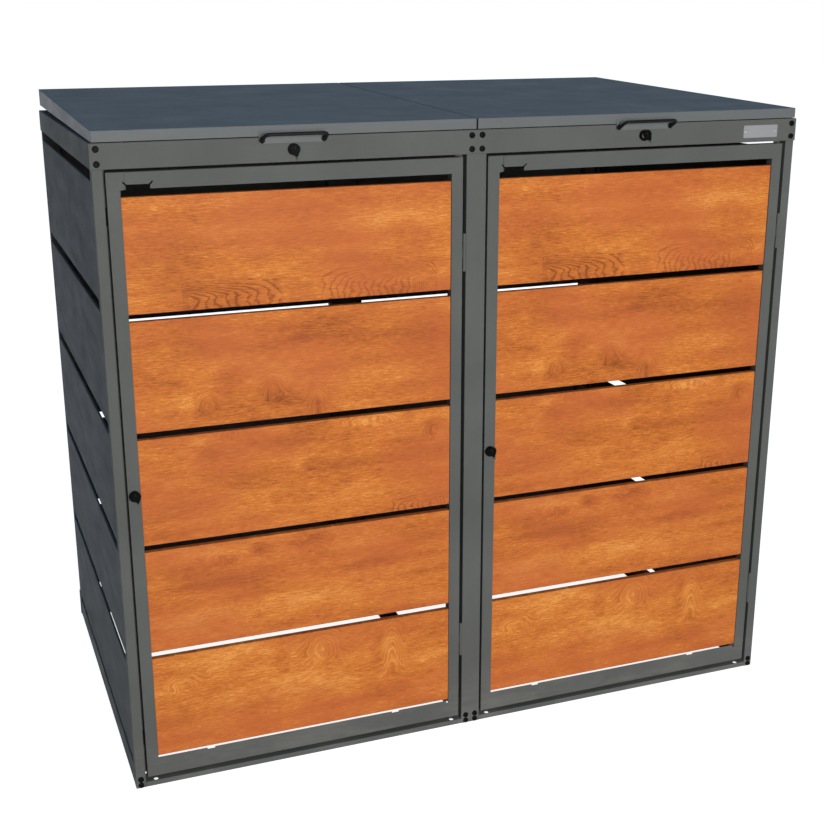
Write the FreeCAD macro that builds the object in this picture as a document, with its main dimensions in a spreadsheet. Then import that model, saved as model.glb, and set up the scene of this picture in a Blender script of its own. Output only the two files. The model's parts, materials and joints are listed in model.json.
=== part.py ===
import FreeCAD, Part
import os
import re

# Wheelie bin store for two 240 litre bins: a bolted sheet-steel frame, slatted walls,
# two framed doors with five wood-look panels each, and two sloping lids hinged at the back.
# Millimetres. +X to the right, +Y to the back, +Z up; the origin is on the floor, midway
# between the sides and midway between the handles' front and the lids' rear edge.

doc = FreeCAD.newDocument("bin_store")

# Driving dimensions
SIZES = {
    "store_width": 1372,
    "store_depth": 810,
    "frame_height": 1200,
    "frame_sheet": 1.5,
    "rail_height": 43,
    "corner_post_face": 18.5,
    "mid_post_face": 39,
    "post_depth": 19.5,
    "rear_corner_face": 40,
    "rear_mid_face": 80,
    "rear_post_depth": 20,
    "tie_depth": 20,
    "tie_face": 40,
    "floor_tie_height": 10,
    "sill_height": 10.5,
    "sill_depth": 30,
    "sill_ear_height": 24,
    "rear_kick_height": 63,
    "wall_foot_gap": 14,
    "wall_top_gap": 20,
    "side_wall_gap": 20,
    "rear_wall_gap": 15,
    "wall_panel_depth": 4,
    "panel_sheet": 1,
    "lock_gap": 4,
    "hinge_gap": 6.6,
    "door_top_gap": 5,
    "door_floor_gap": 20,
    "door_depth": 18,
    "stile_width": 22.5,
    "door_top_rail": 29,
    "door_bottom_rail": 38,
    "door_panel_gap": 13,
    "door_bottom_gap": 5.4,
    "bottom_panel_drop": 2.6,
    "door_panel_depth": 12,
    "door_panel_recess": 1.8,
    "grip_offset": 9,
    "grip_width": 40.5,
    "grip_height": 8,
    "grip_ear_length": 6.5,
    "grip_ear_width": 2.4,
    "corner_notch": 4.5,
    "seat_notch_width": 15,
    "seat_notch_depth": 3,
    "seat_notch_left": 101,
    "seat_notch_right": 115,
    "drain_end": 10,
    "stop_inset": 60,
    "stop_height": 30,
    "stop_thickness": 1.2,
    "stop_overlap": 10,
    "strip_overlap": 5,
    "strip_hinge_overlap": 14.5,
    "strip_end_gap": 2,
    "strip_rise": 1,
    "strip_step": 0.5,
    "buffer_thickness": 1.15,
    "bolt_radius": 3,
    "bolt_length": 12,
    "bolt_head_radius": 5.5,
    "bolt_head_height": 3.2,
    "bolt_play": 0.2,
    "nut_radius": 4.6,
    "nut_height": 5,
    "mid_bolt_offset": 10,
    "rear_bolt_offset": 20,
    "top_bolt_inset": 9.5,
    "top_bolt_pitch": 24.5,
    "low_bolt_height": 6,
    "low_bolt_pitch": 12,
    "anchor_radius": 4.5,
    "anchor_inset": 20,
    "anchor_setback": 6.5,
    "door_hinge_radius": 2.9,
    "door_hinge_length": 70,
    "door_hinge_inset": 173,
    "door_leaf_sheet": 1.2,
    "door_leaf_depth": 15,
    "door_pin_radius": 1.4,
    "lid_hinge_radius": 4,
    "lid_hinge_length": 60,
    "lid_hinge_inset": 110,
    "lid_leaf_sheet": 1.5,
    "lid_leaf_height": 32,
    "lid_pin_radius": 2,
    "pin_play": 0.05,
    "knuckle_gap": 0.3,
    "lid_front_gap": 1.5,
    "lid_rear_gap": 10,
    "lid_skirt_front": 18.5,
    "lid_skirt_rear": 34,
    "lid_side_inset": 4,
    "lid_split_gap": 3,
    "lid_front_overhang": 0.5,
    "lid_lip": 10,
    "lid_pad_width": 24,
    "lid_pad_depth": 8,
    "lid_pad_height": 1.15,
    "lid_pad_inset": 30,
    "handle_spacing": 110,
    "handle_radius": 3,
    "handle_reach": 25,
    "handle_rise": 13.7,
    "handle_bend": 9,
    "handle_stub": 12,
    "handle_plate_width": 120,
    "handle_plate_lap": 9,
    "handle_plate_drop": 12,
    "handle_foot_inset": 3.3,
    "lock_head_radius": 10,
    "lock_head_height": 5,
    "lock_barrel_radius": 8,
    "lock_barrel_length": 19.5,
    "lock_plug_radius": 5.5,
    "lock_nut_radius": 9.5,
    "lock_nut_height": 3,
    "lock_reach": 21.5,
    "key_slot_width": 1.4,
    "key_slot_height": 7,
    "cam_length": 22,
    "cam_width": 12,
    "cam_hub_radius": 7,
    "cam_sheet": 2.5,
    "cam_stud_radius": 3,
    "cam_nut_radius": 5,
    "cam_nut_height": 3,
    "cover_radius": 9,
    "cover_sheet": 1.3,
    "cover_shoulder": 8.1,
    "cover_shoulder_drop": 3.6,
    "cover_tail": 19,
    "cover_tail_width": 3,
    "cover_pivot_rise": 7.3,
    "cover_pin_radius": 1.1,
    "cover_gap": 0.3,
    "keeper_start": 10,
    "keeper_width": 16,
    "keeper_sheet": 1.5,
    "keeper_drop": 30,
    "keeper_lip": 2.2,
    "keeper_gap": 0.5,
    "plate_width": 78,
    "plate_height": 24,
    "plate_sheet": 0.8,
    "plate_side_inset": 43.5,
    "plate_drop": 1,
    "plate_rivet_radius": 1.6,
    "plate_rivet_inset": 5,
    "plate_rivet_head": 0.8,
}
EAR_SHIFT = "(grip_ear_width / 2 * sin(45 deg))"
PANEL_COUNT = 5

dims = doc.addObject("Spreadsheet::Sheet", "dims")
for row, (alias, value) in enumerate(SIZES.items(), start=1):
    dims.set(f"A{row}", alias)
    dims.set(f"B{row}", str(value))
    dims.setAlias(f"B{row}", alias)
doc.recompute()

ALIAS = re.compile(r"\b(" + "|".join(SIZES) + r")\b")
nodes = {}


def cells(text):
    """Turn plain size names into references to the sheet."""
    return ALIAS.sub(r"dims.\1", text)


def bind(thing, prop, text):
    thing.setExpression(prop, cells(text))


def place(thing, x, y, z):
    for axis, text in zip("xyz", (x, y, z)):
        bind(thing, f"Placement.Base.{axis}", text)


def turn(thing, axis, angle):
    thing.Placement = FreeCAD.Placement(
        FreeCAD.Vector(), FreeCAD.Rotation(FreeCAD.Vector(*axis), angle)
    )


# Shape helpers: every span is a pair of expressions, low then high
def box(name, x, y, z):
    part = doc.addObject("Part::Box", name)
    for prop, (low, high) in zip(("Length", "Width", "Height"), (x, y, z)):
        bind(part, prop, f"({high}) - ({low})")
    place(part, x[0], y[0], z[0])
    return part


def cylinder(name, axis, radius, span, across):
    """A cylinder along X, Y or Z; across holds its other two coordinates in XYZ order."""
    part = doc.addObject("Part::Cylinder", name)
    bind(part, "Radius", radius)
    bind(part, "Height", f"({span[1]}) - ({span[0]})")
    if axis == "X":
        turn(part, (0, 1, 0), 90)
        place(part, span[0], across[0], across[1])
    elif axis == "Y":
        turn(part, (1, 0, 0), -90)
        place(part, across[0], span[0], across[1])
    else:
        place(part, across[0], across[1], span[0])
    return part


def fuse(name, parts):
    whole = doc.addObject("Part::MultiFuse", name)
    whole.Shapes = parts
    return whole


def cut(name, base, tools):
    whole = doc.addObject("Part::Cut", name)
    whole.Base = base
    whole.Tool = tools[0] if len(tools) == 1 else fuse(f"{name}_tools", tools)
    return whole


def group(name, parts):
    whole = doc.addObject("Part::Compound", name)
    whole.Links = parts
    return whole


def node(name, part):
    part.Label = name
    nodes[name] = part
    return part


# Planes and lines of the frame
LEFT = "(-store_width / 2)"
RIGHT = "(store_width / 2)"
OVERHANG = "(lid_front_overhang + handle_reach + handle_radius - 2 * lid_hinge_radius)"
FRONT = f"(-store_depth / 2 + {OVERHANG} / 2)"
REAR = f"(store_depth / 2 + {OVERHANG} / 2)"
POST_LEFT = f"({LEFT} + frame_sheet)"
POST_RIGHT = f"({RIGHT} - frame_sheet)"
POST_FRONT = f"({FRONT} + frame_sheet)"
POST_BACK = f"({POST_FRONT} + post_depth)"
BACK_POST_REAR = f"({REAR} - frame_sheet)"
BACK_POST_FRONT = f"({BACK_POST_REAR} - rear_post_depth)"
POST_TOP = "(frame_height - frame_sheet)"
RAIL_LOW = "(frame_height - rail_height)"
BAYS = {
    "left": {"low": f"({POST_LEFT} + corner_post_face)", "high": "(-mid_post_face / 2)"},
    "right": {"low": "(mid_post_face / 2)", "high": f"({POST_RIGHT} - corner_post_face)"},
}
for bay in BAYS.values():
    bay["centre"] = f"(({bay['low']} + {bay['high']}) / 2)"
    bay["door_low"] = f"({bay['low']} + lock_gap)"
    bay["door_high"] = f"({bay['high']} - hinge_gap)"
    bay["hinge_x"] = f"({bay['high']} - hinge_gap / 2)"
    bay["lock_x"] = f"({bay['door_low']} + stile_width / 2)"
BAYS["left"]["lid_low"] = f"({LEFT} + lid_side_inset)"
BAYS["left"]["lid_high"] = "(-lid_split_gap / 2)"
BAYS["right"]["lid_low"] = "(lid_split_gap / 2)"
BAYS["right"]["lid_high"] = f"({RIGHT} - lid_side_inset)"
DOOR_LOW = "door_floor_gap"
DOOR_HIGH = f"({RAIL_LOW} - door_top_gap)"
LOCK_Z = {"door": f"(({DOOR_LOW} + {DOOR_HIGH}) / 2)", "rail": "(frame_height - rail_height / 2)"}


# Bolts: each is (x, z) on the front or the rear face
TOP_ROWS = [
    "(frame_height - top_bolt_inset)",
    "(frame_height - top_bolt_inset - top_bolt_pitch)",
]
LOW_ROWS = ["low_bolt_height", "(low_bolt_height + low_bolt_pitch)"]
KICK_ROWS = [
    "(rear_kick_height / 2 - top_bolt_pitch / 2)",
    "(rear_kick_height / 2 + top_bolt_pitch / 2)",
]
FRONT_COLUMNS = {
    "front_left_post": [f"({POST_LEFT} + corner_post_face / 2)"],
    "front_mid_post": ["(-mid_bolt_offset)", "mid_bolt_offset"],
    "front_right_post": [f"({POST_RIGHT} - corner_post_face / 2)"],
}
REAR_COLUMNS = {
    "rear_left_post": [f"({POST_LEFT} + rear_corner_face / 2)"],
    "rear_mid_post": ["(-rear_bolt_offset)", "rear_bolt_offset"],
    "rear_right_post": [f"({POST_RIGHT} - rear_corner_face / 2)"],
}


def bolt_holes(name, columns, rows, y):
    """Clearance holes through a wall between the two y values."""
    return [
        cylinder(f"{name}_hole", "Y", "bolt_radius + bolt_play", y, (x, z))
        for x in columns
        for z in rows
    ]


def every(columns):
    return [x for group_of in columns.values() for x in group_of]


# Posts
EAR_Y = (f"{POST_FRONT} + frame_sheet", f"{POST_FRONT} + 2 * frame_sheet")


def front_post(name, x):
    """A closed tube, slotted at the foot for the ears of the sill."""
    outer = box(f"{name}_outer", x, (POST_FRONT, POST_BACK), ("0", POST_TOP))
    inner = box(
        f"{name}_bore",
        (f"{x[0]} + frame_sheet", f"{x[1]} - frame_sheet"),
        (f"{POST_FRONT} + frame_sheet", f"{POST_BACK} - frame_sheet"),
        ("0", POST_TOP),
    )
    wall = (POST_FRONT, f"{POST_FRONT} + frame_sheet")
    holes = bolt_holes(name, FRONT_COLUMNS[name], TOP_ROWS + LOW_ROWS, wall)
    slots = []
    if name != "front_left_post":
        slots.append((x[0], f"{x[0]} + frame_sheet"))
    if name != "front_right_post":
        slots.append((f"{x[1]} - frame_sheet", x[1]))
    for slot_x in slots:
        holes.append(box(f"{name}_slot", slot_x, EAR_Y, ("0", "sill_height")))
    node(name, cut(name, outer, [inner] + holes))


def rear_post(name, x):
    """A channel, open towards the bins."""
    outer = box(f"{name}_outer", x, (BACK_POST_FRONT, BACK_POST_REAR), ("0", POST_TOP))
    inner = box(
        f"{name}_throat",
        (f"{x[0]} + frame_sheet", f"{x[1]} - frame_sheet"),
        (BACK_POST_FRONT, f"{BACK_POST_REAR} - frame_sheet"),
        ("0", POST_TOP),
    )
    wall = (f"{BACK_POST_REAR} - frame_sheet", BACK_POST_REAR)
    holes = bolt_holes(name, REAR_COLUMNS[name], TOP_ROWS + KICK_ROWS, wall)
    node(name, cut(name, outer, [inner] + holes))


def posts():
    front_post("front_left_post", (POST_LEFT, f"{POST_LEFT} + corner_post_face"))
    front_post("front_mid_post", ("-mid_post_face / 2", "mid_post_face / 2"))
    front_post("front_right_post", (f"{POST_RIGHT} - corner_post_face", POST_RIGHT))
    rear_post("rear_left_post", (POST_LEFT, f"{POST_LEFT} + rear_corner_face"))
    rear_post("rear_mid_post", ("-rear_mid_face / 2", "rear_mid_face / 2"))
    rear_post("rear_right_post", (f"{POST_RIGHT} - rear_corner_face", POST_RIGHT))


# Top ring: angle sections that wrap the posts, flange inwards along the top
PLATE_X = f"({RIGHT} - plate_side_inset - plate_width / 2)"
PLATE_Z = "(frame_height - rail_height / 2 - plate_drop)"
PLATE_RIVETS = [
    f"({PLATE_X} - plate_width / 2 + plate_rivet_inset)",
    f"({PLATE_X} + plate_width / 2 - plate_rivet_inset)",
]


def top_rails():
    web = box("front_web", (LEFT, RIGHT), (FRONT, POST_FRONT), (RAIL_LOW, "frame_height"))
    flange = box(
        "front_flange", (POST_LEFT, POST_RIGHT), (POST_FRONT, POST_BACK), (POST_TOP, "frame_height")
    )
    wall = (FRONT, POST_FRONT)
    holes = bolt_holes("front_top_rail", every(FRONT_COLUMNS), TOP_ROWS, wall)
    for bay in BAYS.values():
        seat = (bay["centre"], LOCK_Z["rail"])
        holes.append(cylinder("rail_lock_hole", "Y", "lock_barrel_radius", wall, seat))
    for x in PLATE_RIVETS:
        holes.append(cylinder("plate_hole", "Y", "plate_rivet_radius", wall, (x, PLATE_Z)))
    whole = fuse("front_top_rail_blank", [web, flange])
    node("front_top_rail", cut("front_top_rail", whole, holes))

    web = box("rear_web", (LEFT, RIGHT), (BACK_POST_REAR, REAR), (RAIL_LOW, "frame_height"))
    flange = box(
        "rear_flange",
        (POST_LEFT, POST_RIGHT),
        (BACK_POST_FRONT, BACK_POST_REAR),
        (POST_TOP, "frame_height"),
    )
    holes = bolt_holes("rear_top_rail", every(REAR_COLUMNS), TOP_ROWS, (BACK_POST_REAR, REAR))
    whole = fuse("rear_top_rail_blank", [web, flange])
    node("rear_top_rail", cut("rear_top_rail", whole, holes))

    sides = {
        "left_top_rail": ((LEFT, POST_LEFT), (POST_LEFT, f"{POST_LEFT} + corner_post_face")),
        "right_top_rail": ((POST_RIGHT, RIGHT), (f"{POST_RIGHT} - corner_post_face", POST_RIGHT)),
    }
    for name, (web_x, flange_x) in sides.items():
        web = box(f"{name}_web", web_x, (POST_FRONT, BACK_POST_REAR), (RAIL_LOW, "frame_height"))
        flange = box(
            f"{name}_flange", flange_x, (POST_BACK, BACK_POST_FRONT), (POST_TOP, "frame_height")
        )
        node(name, fuse(name, [web, flange]))

    tie_z = (f"{POST_TOP} - tie_depth", POST_TOP)
    node("mid_top_rail", tube("mid_top_rail", tie_z))


def tube(name, z):
    """A closed rectangular tube from the front mid post to the rear mid post."""
    y = (POST_BACK, BACK_POST_FRONT)
    outer = box(f"{name}_outer", ("-tie_face / 2", "tie_face / 2"), y, z)
    inner = box(
        f"{name}_bore",
        ("-tie_face / 2 + frame_sheet", "tie_face / 2 - frame_sheet"),
        y,
        (f"{z[0]} + frame_sheet", f"{z[1]} - frame_sheet"),
    )
    return cut(name, outer, [inner])


# Bottom rails
def sill(side, bay):
    """A low threshold between two posts, with ears that the bolts hold inside the posts."""
    name = f"{side}_sill"
    x = (bay["low"], bay["high"])
    flange_z = ("sill_height - frame_sheet", "sill_height")
    ears = {
        "left": {
            "left": (f"{POST_LEFT} + frame_sheet", f"{x[0]} - frame_sheet"),
            "right": (f"{x[1]} + frame_sheet", "-frame_sheet"),
        },
        "right": {
            "left": ("frame_sheet", f"{x[0]} - frame_sheet"),
            "right": (f"{x[1]} + frame_sheet", f"{POST_RIGHT} - frame_sheet"),
        },
    }[side]
    parts = [
        box(f"{name}_lip", x, (POST_FRONT, f"{POST_FRONT} + frame_sheet"), ("0", "sill_height")),
        box(f"{name}_flange", x, (EAR_Y[0], f"{POST_FRONT} + sill_depth"), flange_z),
    ]
    necks = {
        "left": (ears["left"][0], f"{x[0]} + 2 * frame_sheet"),
        "right": (f"{x[1]} - 2 * frame_sheet", ears["right"][1]),
    }
    holes = []
    for end in ears:
        parts.append(box(f"{name}_ear", ears[end], EAR_Y, ("0", "sill_ear_height")))
        parts.append(box(f"{name}_neck", necks[end], EAR_Y, ("0", "sill_height")))
    for column in every(FRONT_COLUMNS):
        for row in LOW_ROWS:
            seat = (column, row)
            holes.append(cylinder(f"{name}_hole", "Y", "bolt_radius + bolt_play", EAR_Y, seat))
    for x_of in (f"{x[0]} + anchor_inset", f"{x[1]} - anchor_inset"):
        seat = (x_of, f"{POST_FRONT} + anchor_setback")
        holes.append(cylinder("anchor_hole", "Z", "anchor_radius", flange_z, seat))
    node(name, cut(name, fuse(f"{name}_blank", parts), holes))


def bottom_rails():
    y = (POST_BACK, BACK_POST_FRONT)
    sides = {
        "left_bottom_rail": (POST_LEFT, f"{POST_LEFT} + corner_post_face"),
        "right_bottom_rail": (f"{POST_RIGHT} - corner_post_face", POST_RIGHT),
    }
    for name, x in sides.items():
        outer = box(f"{name}_outer", x, y, ("0", "rail_height"))
        if name.startswith("left"):
            hollow_x = (f"{x[0]} + frame_sheet", x[1])
        else:
            hollow_x = (x[0], f"{x[1]} - frame_sheet")
        inner = box(f"{name}_throat", hollow_x, y, ("frame_sheet", "rail_height - frame_sheet"))
        node(name, cut(name, outer, [inner]))

    web = box("kick_web", (LEFT, RIGHT), (BACK_POST_REAR, REAR), ("0", "rear_kick_height"))
    parts = [web]
    for x in REAR_BAYS:
        flange_y = (BACK_POST_FRONT, BACK_POST_REAR)
        parts.append(box("kick_flange", x, flange_y, ("0", "frame_sheet")))
    holes = bolt_holes("rear_bottom_rail", every(REAR_COLUMNS), KICK_ROWS, (BACK_POST_REAR, REAR))
    node("rear_bottom_rail", cut("rear_bottom_rail", fuse("kick_blank", parts), holes))

    tie_z = ("sill_height", "sill_height + floor_tie_height")
    node("mid_bottom_rail", tube("mid_bottom_rail", tie_z))


REAR_BAYS = [
    (f"{POST_LEFT} + rear_corner_face", "-rear_mid_face / 2"),
    ("rear_mid_face / 2", f"{POST_RIGHT} - rear_corner_face"),
]


# Wall slats: shallow trays of folded sheet, open towards the bins
def tray(name, x, y, z, skin):
    """A box less its inside; skin names the axis and side that stay closed."""
    outer = box(f"{name}_outer", x, y, z)
    spans = {"X": list(x), "Y": list(y), "Z": list(z)}
    for axis, span in spans.items():
        low, high = span
        if axis != skin[0]:
            spans[axis] = (f"{low} + panel_sheet", f"{high} - panel_sheet")
        elif skin[1] == "low":
            spans[axis] = (f"{low} + panel_sheet", high)
        else:
            spans[axis] = (low, f"{high} - panel_sheet")
    inner = box(f"{name}_hollow", spans["X"], spans["Y"], spans["Z"])
    return cut(name, outer, [inner])


def slat_spans(base, gap):
    """Heights of the slats between a bottom rail's top and the top rail."""
    low = f"({base} + wall_foot_gap)"
    high = f"({RAIL_LOW} - wall_top_gap)"
    height = f"(({high} - {low} - {PANEL_COUNT - 1} * {gap}) / {PANEL_COUNT})"
    spans = []
    for index in range(PANEL_COUNT):
        start = f"({low} + {index} * ({height} + {gap}))"
        spans.append((start, f"({start} + {height})"))
    return spans


def walls():
    side_z = slat_spans("rail_height", "side_wall_gap")
    y = (POST_BACK, BACK_POST_FRONT)
    left_x = (POST_LEFT, f"{POST_LEFT} + wall_panel_depth")
    right_x = (f"{POST_RIGHT} - wall_panel_depth", POST_RIGHT)
    left = [tray("left_slat", left_x, y, z, ("X", "low")) for z in side_z]
    right = [tray("right_slat", right_x, y, z, ("X", "high")) for z in side_z]
    node("left_wall_panels", group("left_wall_panels", left))
    node("right_wall_panels", group("right_wall_panels", right))
    rear_z = slat_spans("rear_kick_height", "rear_wall_gap")
    rear_y = (f"{BACK_POST_REAR} - wall_panel_depth", BACK_POST_REAR)
    rear = [tray("rear_slat", x, rear_y, z, ("Y", "high")) for x in REAR_BAYS for z in rear_z]
    node("rear_wall_panels", group("rear_wall_panels", rear))


# Doors
def grip_ear(name, x, y, z, angle, steps):
    """A short relief cut that starts inside the grip notch and runs up and out past its corner."""
    length = ("-grip_ear_width", "grip_ear_length")
    ear = box(f"{name}_grip_ear", length, y, ("0", "grip_ear_width"))
    turn(ear, (0, 1, 0), angle)
    place(ear, f"{x} + {steps[0]} * {EAR_SHIFT}", y[0], f"{z} + {steps[1]} * {EAR_SHIFT}")
    return ear


def door(side, bay):
    name = f"{side}_door_frame"
    x = (bay["door_low"], bay["door_high"])
    y = (POST_FRONT, f"{POST_FRONT} + door_depth")
    z = (DOOR_LOW, DOOR_HIGH)
    window_x = (f"{x[0]} + stile_width", f"{x[1]} - stile_width")
    window_z = (f"{z[0]} + door_bottom_rail", f"{z[1]} - door_top_rail")
    outer = box(f"{name}_outer", x, y, z)
    window = box(f"{name}_window", window_x, y, window_z)
    channel_y = (f"{POST_FRONT} + frame_sheet", f"{POST_FRONT} + door_depth")
    channel_outer = box(
        f"{name}_channel",
        (f"{x[0]} + frame_sheet", f"{x[1]} - frame_sheet"),
        channel_y,
        (f"{z[0]} + frame_sheet", f"{z[1]} - frame_sheet"),
    )
    channel_inner = box(
        f"{name}_return",
        (f"{window_x[0]} - frame_sheet", f"{window_x[1]} + frame_sheet"),
        channel_y,
        (f"{window_z[0]} - frame_sheet", f"{window_z[1]} + frame_sheet"),
    )
    channel = cut(f"{name}_ring", channel_outer, [channel_inner])
    grip_x = (f"{window_x[0]} + grip_offset", f"{window_x[0]} + grip_offset + grip_width")
    grip_top = f"({window_z[1]} + grip_height)"
    grip = box(f"{name}_grip", grip_x, y, (window_z[1], grip_top))
    ears = [
        grip_ear(name, grip_x[0], y, grip_top, -135, (3, -1)),
        grip_ear(name, grip_x[1], y, grip_top, -45, (-1, -3)),
    ]
    lock_seat = (bay["lock_x"], LOCK_Z["door"])
    lock_wall = (POST_FRONT, f"{POST_FRONT} + frame_sheet")
    lock_hole = cylinder(f"{name}_lock_hole", "Y", "lock_barrel_radius", lock_wall, lock_seat)
    notch = box(
        f"{name}_notch",
        (f"{window_x[1]} - corner_notch", window_x[1]),
        lock_wall,
        (f"{window_z[0]} - corner_notch", window_z[0]),
    )
    drain_x = (window_x[0], f"{window_x[1]} - drain_end")
    drain = box(f"{name}_drain", drain_x, channel_y, (f"{window_z[0]} - frame_sheet", window_z[0]))
    openings = [window, channel, grip, notch, drain, lock_hole] + ears
    seats = (f"{window_x[0]} + seat_notch_left", f"{window_x[1]} - seat_notch_right")
    for seat in seats:
        seat_x = (f"{seat} - seat_notch_width / 2", f"{seat} + seat_notch_width / 2")
        seat_z = (f"{window_z[0]} - seat_notch_depth", window_z[0])
        openings.append(box(f"{name}_seat", seat_x, y, seat_z))
    node(name, cut(name, outer, openings))

    low = f"({window_z[0]} + door_bottom_gap)"
    height = (
        f"((({window_z[1]}) - {low} - {PANEL_COUNT} * door_panel_gap) / {PANEL_COUNT})"
    )
    panel_y = (
        f"{POST_FRONT} + door_panel_recess",
        f"{POST_FRONT} + door_panel_recess + door_panel_depth",
    )
    panels = []
    for index in range(PANEL_COUNT):
        start = f"({low} + {index} * ({height} + door_panel_gap))"
        foot = start if index else f"({start} - bottom_panel_drop)"
        panel_z = (foot, f"({start} + {height})")
        panels.append(tray(f"{side}_door_panel", window_x, panel_y, panel_z, ("Y", "low")))
    node(f"{side}_door_panels", group(f"{side}_door_panels", panels))


def door_stops():
    """Cover strips behind both edges of a door, with rubber-faced stop plates between the
    lengths of the strip on the lock side."""
    plates = []
    buffers = []
    sheet_y = (POST_BACK, f"{POST_BACK} + stop_thickness")
    strip_z = ("rail_height + strip_end_gap", f"{RAIL_LOW} - strip_end_gap")
    foot_z = (f"{DOOR_LOW} + strip_rise", strip_z[0])
    buffer_y = (f"{POST_BACK} - buffer_thickness", POST_BACK)
    stops = [
        (f"{DOOR_LOW} + stop_inset", f"{DOOR_LOW} + stop_inset + stop_height"),
        (f"{DOOR_HIGH} - stop_inset - stop_height", f"{DOOR_HIGH} - stop_inset"),
    ]
    for bay in BAYS.values():
        held = f"{bay['low']} - corner_post_face / 2"
        stop_x = (held, f"{bay['low']} + stop_overlap")
        buffer_x = (f"{bay['low']} + buffer_thickness", f"{bay['low']} + stop_overlap")
        strip_x = (held, f"{bay['low']} + strip_overlap")
        foot_x = (f"{bay['low']} + strip_step", f"{bay['low']} + strip_overlap")
        foot = box("lock_strip_foot", foot_x, sheet_y, foot_z)
        lowest = box("lock_strip_low", strip_x, sheet_y, (strip_z[0], stops[0][0]))
        plates.append(fuse("lock_strip_bottom", [foot, lowest]))
        for z in ((stops[0][1], stops[1][0]), (stops[1][1], strip_z[1])):
            plates.append(box("lock_strip", strip_x, sheet_y, z))
        for z in stops:
            plates.append(box("stop_plate", stop_x, sheet_y, z))
            buffers.append(box("stop_buffer", buffer_x, buffer_y, z))
        hinge_x = (f"{bay['high']} - strip_hinge_overlap", f"{bay['high']} + corner_post_face / 2")
        plates.append(box("hinge_strip", hinge_x, sheet_y, strip_z))
    node("door_stops", group("door_stops", plates))
    return buffers


# Hinges. A barrel is three knuckles: the outer two stay, the middle one moves.
def thirds(low, length):
    """Spans of the three knuckles, with running gaps beside the middle one."""
    first = (low, f"({low}) + ({length}) / 3 - knuckle_gap / 2")
    middle = (
        f"({low}) + ({length}) / 3 + knuckle_gap / 2",
        f"({low}) + 2 * ({length}) / 3 - knuckle_gap / 2",
    )
    last = (f"({low}) + 2 * ({length}) / 3 + knuckle_gap / 2", f"({low}) + ({length})")
    return first, middle, last


def door_hinge(side, bay, low, leaves, pins):
    radius = "door_hinge_radius"
    bore_radius = "door_pin_radius + pin_play"
    seat = (bay["hinge_x"], POST_FRONT)
    first, middle, last = thirds(low, "door_hinge_length")
    whole = (low, f"({low}) + door_hinge_length")
    leaf_y = (POST_FRONT, f"{POST_FRONT} + door_leaf_depth")
    near = f"{bay['high']} - door_leaf_sheet"

    # The post leaf lies on the post's side wall
    plate = box("post_leaf_plate", (near, bay["high"]), leaf_y, whole)
    relief_y = (POST_FRONT, f"{POST_FRONT} + door_hinge_radius + knuckle_gap")
    relief_z = (f"{middle[0]} - knuckle_gap", f"{middle[1]} + knuckle_gap")
    relief = box("post_leaf_relief", (near, bay["high"]), relief_y, relief_z)
    body = fuse(
        "post_leaf_body",
        [cut("post_leaf_cut", plate, [relief])]
        + [cylinder("post_knuckle", "Z", radius, span, seat) for span in (first, last)],
    )
    bore = cylinder("post_leaf_bore", "Z", bore_radius, whole, seat)
    leaves["frame"].append(cut("post_leaf", body, [bore]))

    # The door leaf lies on the door's side wall
    door_x = (bay["door_high"], f"{bay['door_high']} + door_leaf_sheet")
    plate = box("door_leaf_plate", door_x, leaf_y, whole)
    reliefs = [
        box("door_leaf_relief", door_x, relief_y, (first[0], f"{first[1]} + knuckle_gap")),
        box("door_leaf_relief", door_x, relief_y, (f"{last[0]} - knuckle_gap", last[1])),
    ]
    body = fuse(
        "door_leaf_body",
        [cut("door_leaf_cut", plate, reliefs), cylinder("door_knuckle", "Z", radius, middle, seat)],
    )
    bore = cylinder("door_leaf_bore", "Z", bore_radius, whole, seat)
    leaves[side].append(cut("door_leaf", body, [bore]))
    pins.append(cylinder("door_pin", "Z", "door_pin_radius", whole, seat))


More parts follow.
